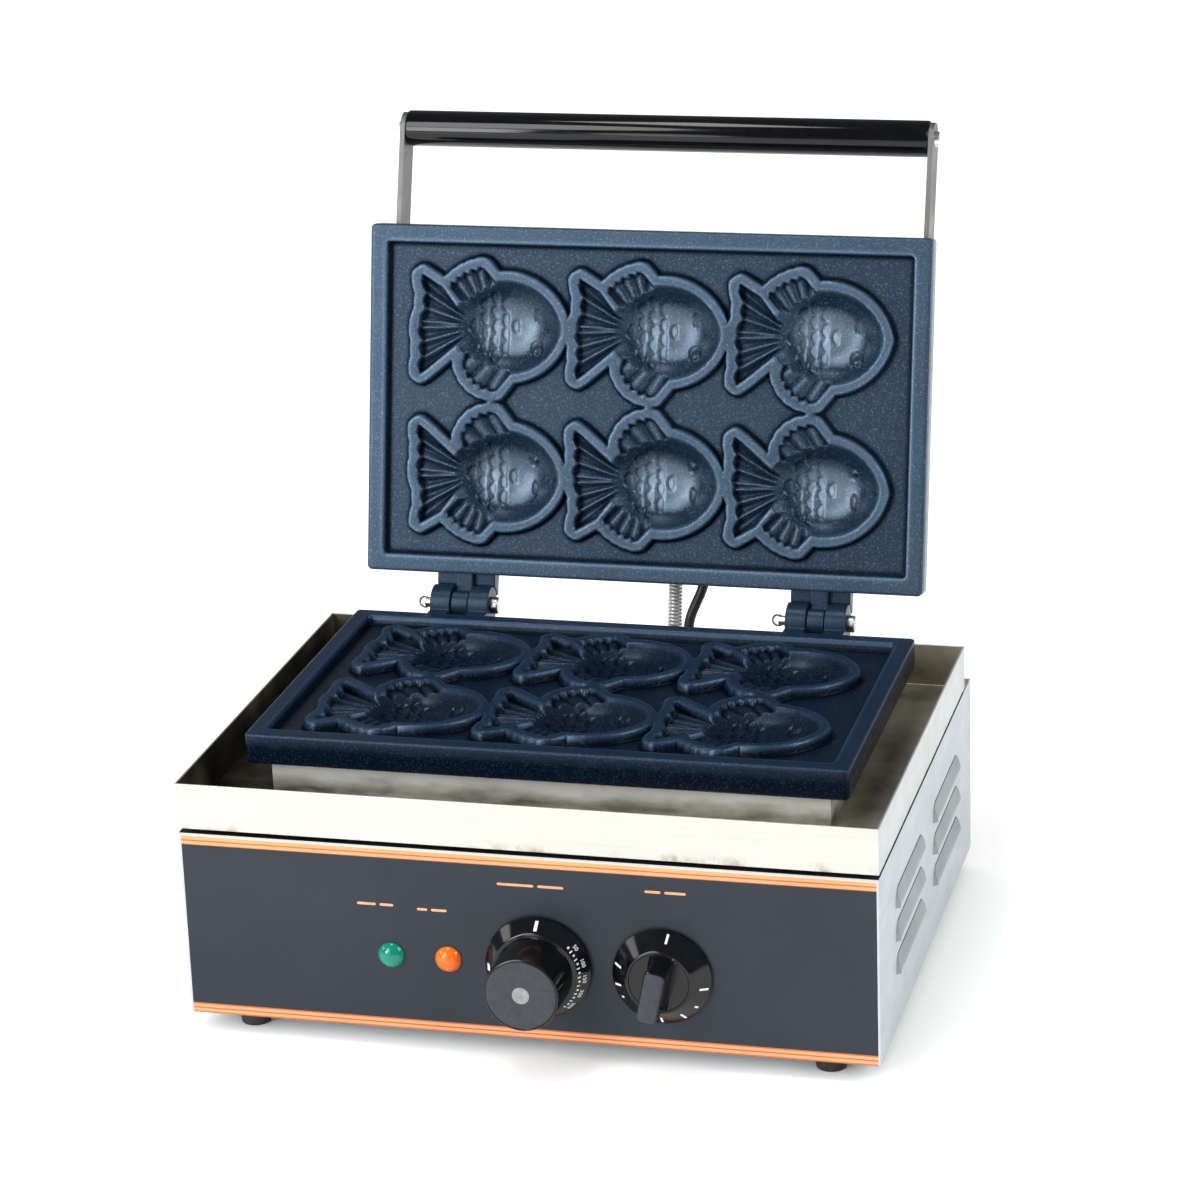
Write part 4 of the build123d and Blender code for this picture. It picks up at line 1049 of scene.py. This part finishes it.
def make_leads():
    length = (leads_top_z - body_top) / cos(lean)
    low, high = 7.5, length - 7.5
    radius = conduit_outer - conduit_wire / 2 - 0.05
    steps = 28
    path = []
    for k in range(conduit_turns * steps + 1):
        angle = 2 * pi * k / steps
        along = low + conduit_wire / 2 + (high - low - conduit_wire) * k / (conduit_turns * steps)
        path.append(lead_point(conduit_x + radius * cos(angle), along, radius * sin(angle)))
    core_path = [lead_point(conduit_x, low + (high - low) * k / 40) for k in range(41)]
    lead_path = []
    for k in range(61):
        along = low + (high - low) * k / 60
        share = float(smooth((along - 27) / 32))
        lead_path.append(lead_point(lead_x + (lead_top_x - lead_x) * share, along))
    for name, skin, finish, slot, node in (
            ("conduit_winding", tube(path, conduit_wire / 2 - 0.02, 12), "wire", "spring_steel",
             "flex_conduit"),
            ("conduit_inner_lead", tube(core_path, 2.15, 20), "lead", "rubber", "conduit_core"),
            ("lid_lead_sheath", tube(lead_path, lead_radius - 0.05), "lead", "rubber", "lid_lead")):
        thing = piece(name, *skin, finishes[finish], None, slot, (node,))
        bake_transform(thing)


# ---- camera, light and floor ----
def make_camera():
    forward = Vector((sin(camera_turn) * cos(camera_pitch), cos(camera_turn) * cos(camera_pitch),
                      -sin(camera_pitch)))
    right = Vector((cos(camera_turn), -sin(camera_turn), 0))
    up = right.cross(forward)
    rolled_right = cos(camera_roll) * right + sin(camera_roll) * up
    rolled_up = cos(camera_roll) * up - sin(camera_roll) * right
    data = bpy.data.cameras.new("photo_camera")
    data.sensor_width = sensor_width
    data.sensor_fit = "HORIZONTAL"
    data.lens = focal_pixels / frame_pixels * sensor_width
    data.clip_end = 100
    camera = placed("photo_camera", data)
    place = Matrix((rolled_right, rolled_up, -forward)).transposed().to_4x4()
    place.translation = Vector(camera_place) * MM
    camera.matrix_world = place
    bpy.context.scene.camera = camera


# area lights: name, place and target in metres, watts, shape, width and height in metres
area_lights = (
    ("left_softbox", (-1.45, -1.9, 0.72), (0, 0.1, 0.3), 22, "RECTANGLE", 0.8, 0.9),
    ("right_fill", (2.1, -0.5, 1.55), (0.1, 0, 0.12), 21, "RECTANGLE", 1.1, 1.1),
    ("left_edge", (-2.3, -0.6, 1.15), (0, -0.1, 0.1), 6, "ELLIPSE", 0.9, 0.7),
    ("front_card", (-0.53, -1.97, 0.5), (0, 0.1, 0.3), 2.4, "ELLIPSE", 0.5, 0.6),
    ("overhead_box", (-0.35, -0.25, 2.3), (0, 0, 0.2), 9, "RECTANGLE", 0.7, 0.5),
)
world_strength = 0.2
key_strength = 1.35
floor_strength = 2.75
floor_reach = 30000


def add_light(name, kind, place, target, energy, **settings):
    data = bpy.data.lights.new(name, kind)
    data.energy = energy
    for setting, value in settings.items():
        setattr(data, setting, value)
    light = placed(name, data)
    light.location = place
    light.rotation_euler = (Vector(target) - Vector(place)).to_track_quat("-Z", "Y").to_euler()
    return light


def make_floor():
    points, faces = block(-floor_reach, floor_reach, -floor_reach, floor_reach, -20, 0)
    mesh = bpy.data.meshes.new("floor")
    mesh.from_pydata((points * MM).tolist(), [], faces)
    f = Finish("floor_paper", roughness=0.9, Specular_IOR_Level=0.1)
    f.colour(f.ramp(f.noise(3, 2), [(0.3, (0.90, 0.90, 0.89)), (0.7, (0.92, 0.92, 0.91))]))
    mesh.materials.append(f.material)
    floor = placed("floor", mesh)
    return floor


def make_studio():
    world = bpy.data.worlds.new("studio")
    world.use_nodes = True
    background = world.node_tree.nodes["Background"]
    background.inputs["Color"].default_value = (0.96, 0.98, 1.0, 1)
    background.inputs["Strength"].default_value = world_strength
    bpy.context.scene.world = world
    add_light("sun_key", "SUN", (-1.2, -1.9, 1.7), (0, 0, 0.2), key_strength, angle=radians(30))
    for name, place, target, watts, shape, width, height in area_lights:
        add_light(name, "AREA", place, target, watts, shape=shape, size=width, size_y=height)
    overhead = add_light("floor_light", "SUN", (0, 0, 3), (0, 0, 0), floor_strength, angle=radians(110))
    # the overhead light is for the paper alone, so that the object keeps its dark upper edges
    paper = bpy.data.collections.new("paper_only")
    paper.objects.link(make_floor())
    overhead.light_linking.receiver_collection = paper
    bpy.context.scene.view_settings.view_transform = "Standard"


dress_nodes()
make_moulds()
make_hinges()
make_grip()
make_temperature_knob()
make_timer_knob()
make_panel_marks()
make_leads()
make_camera()
make_studio()
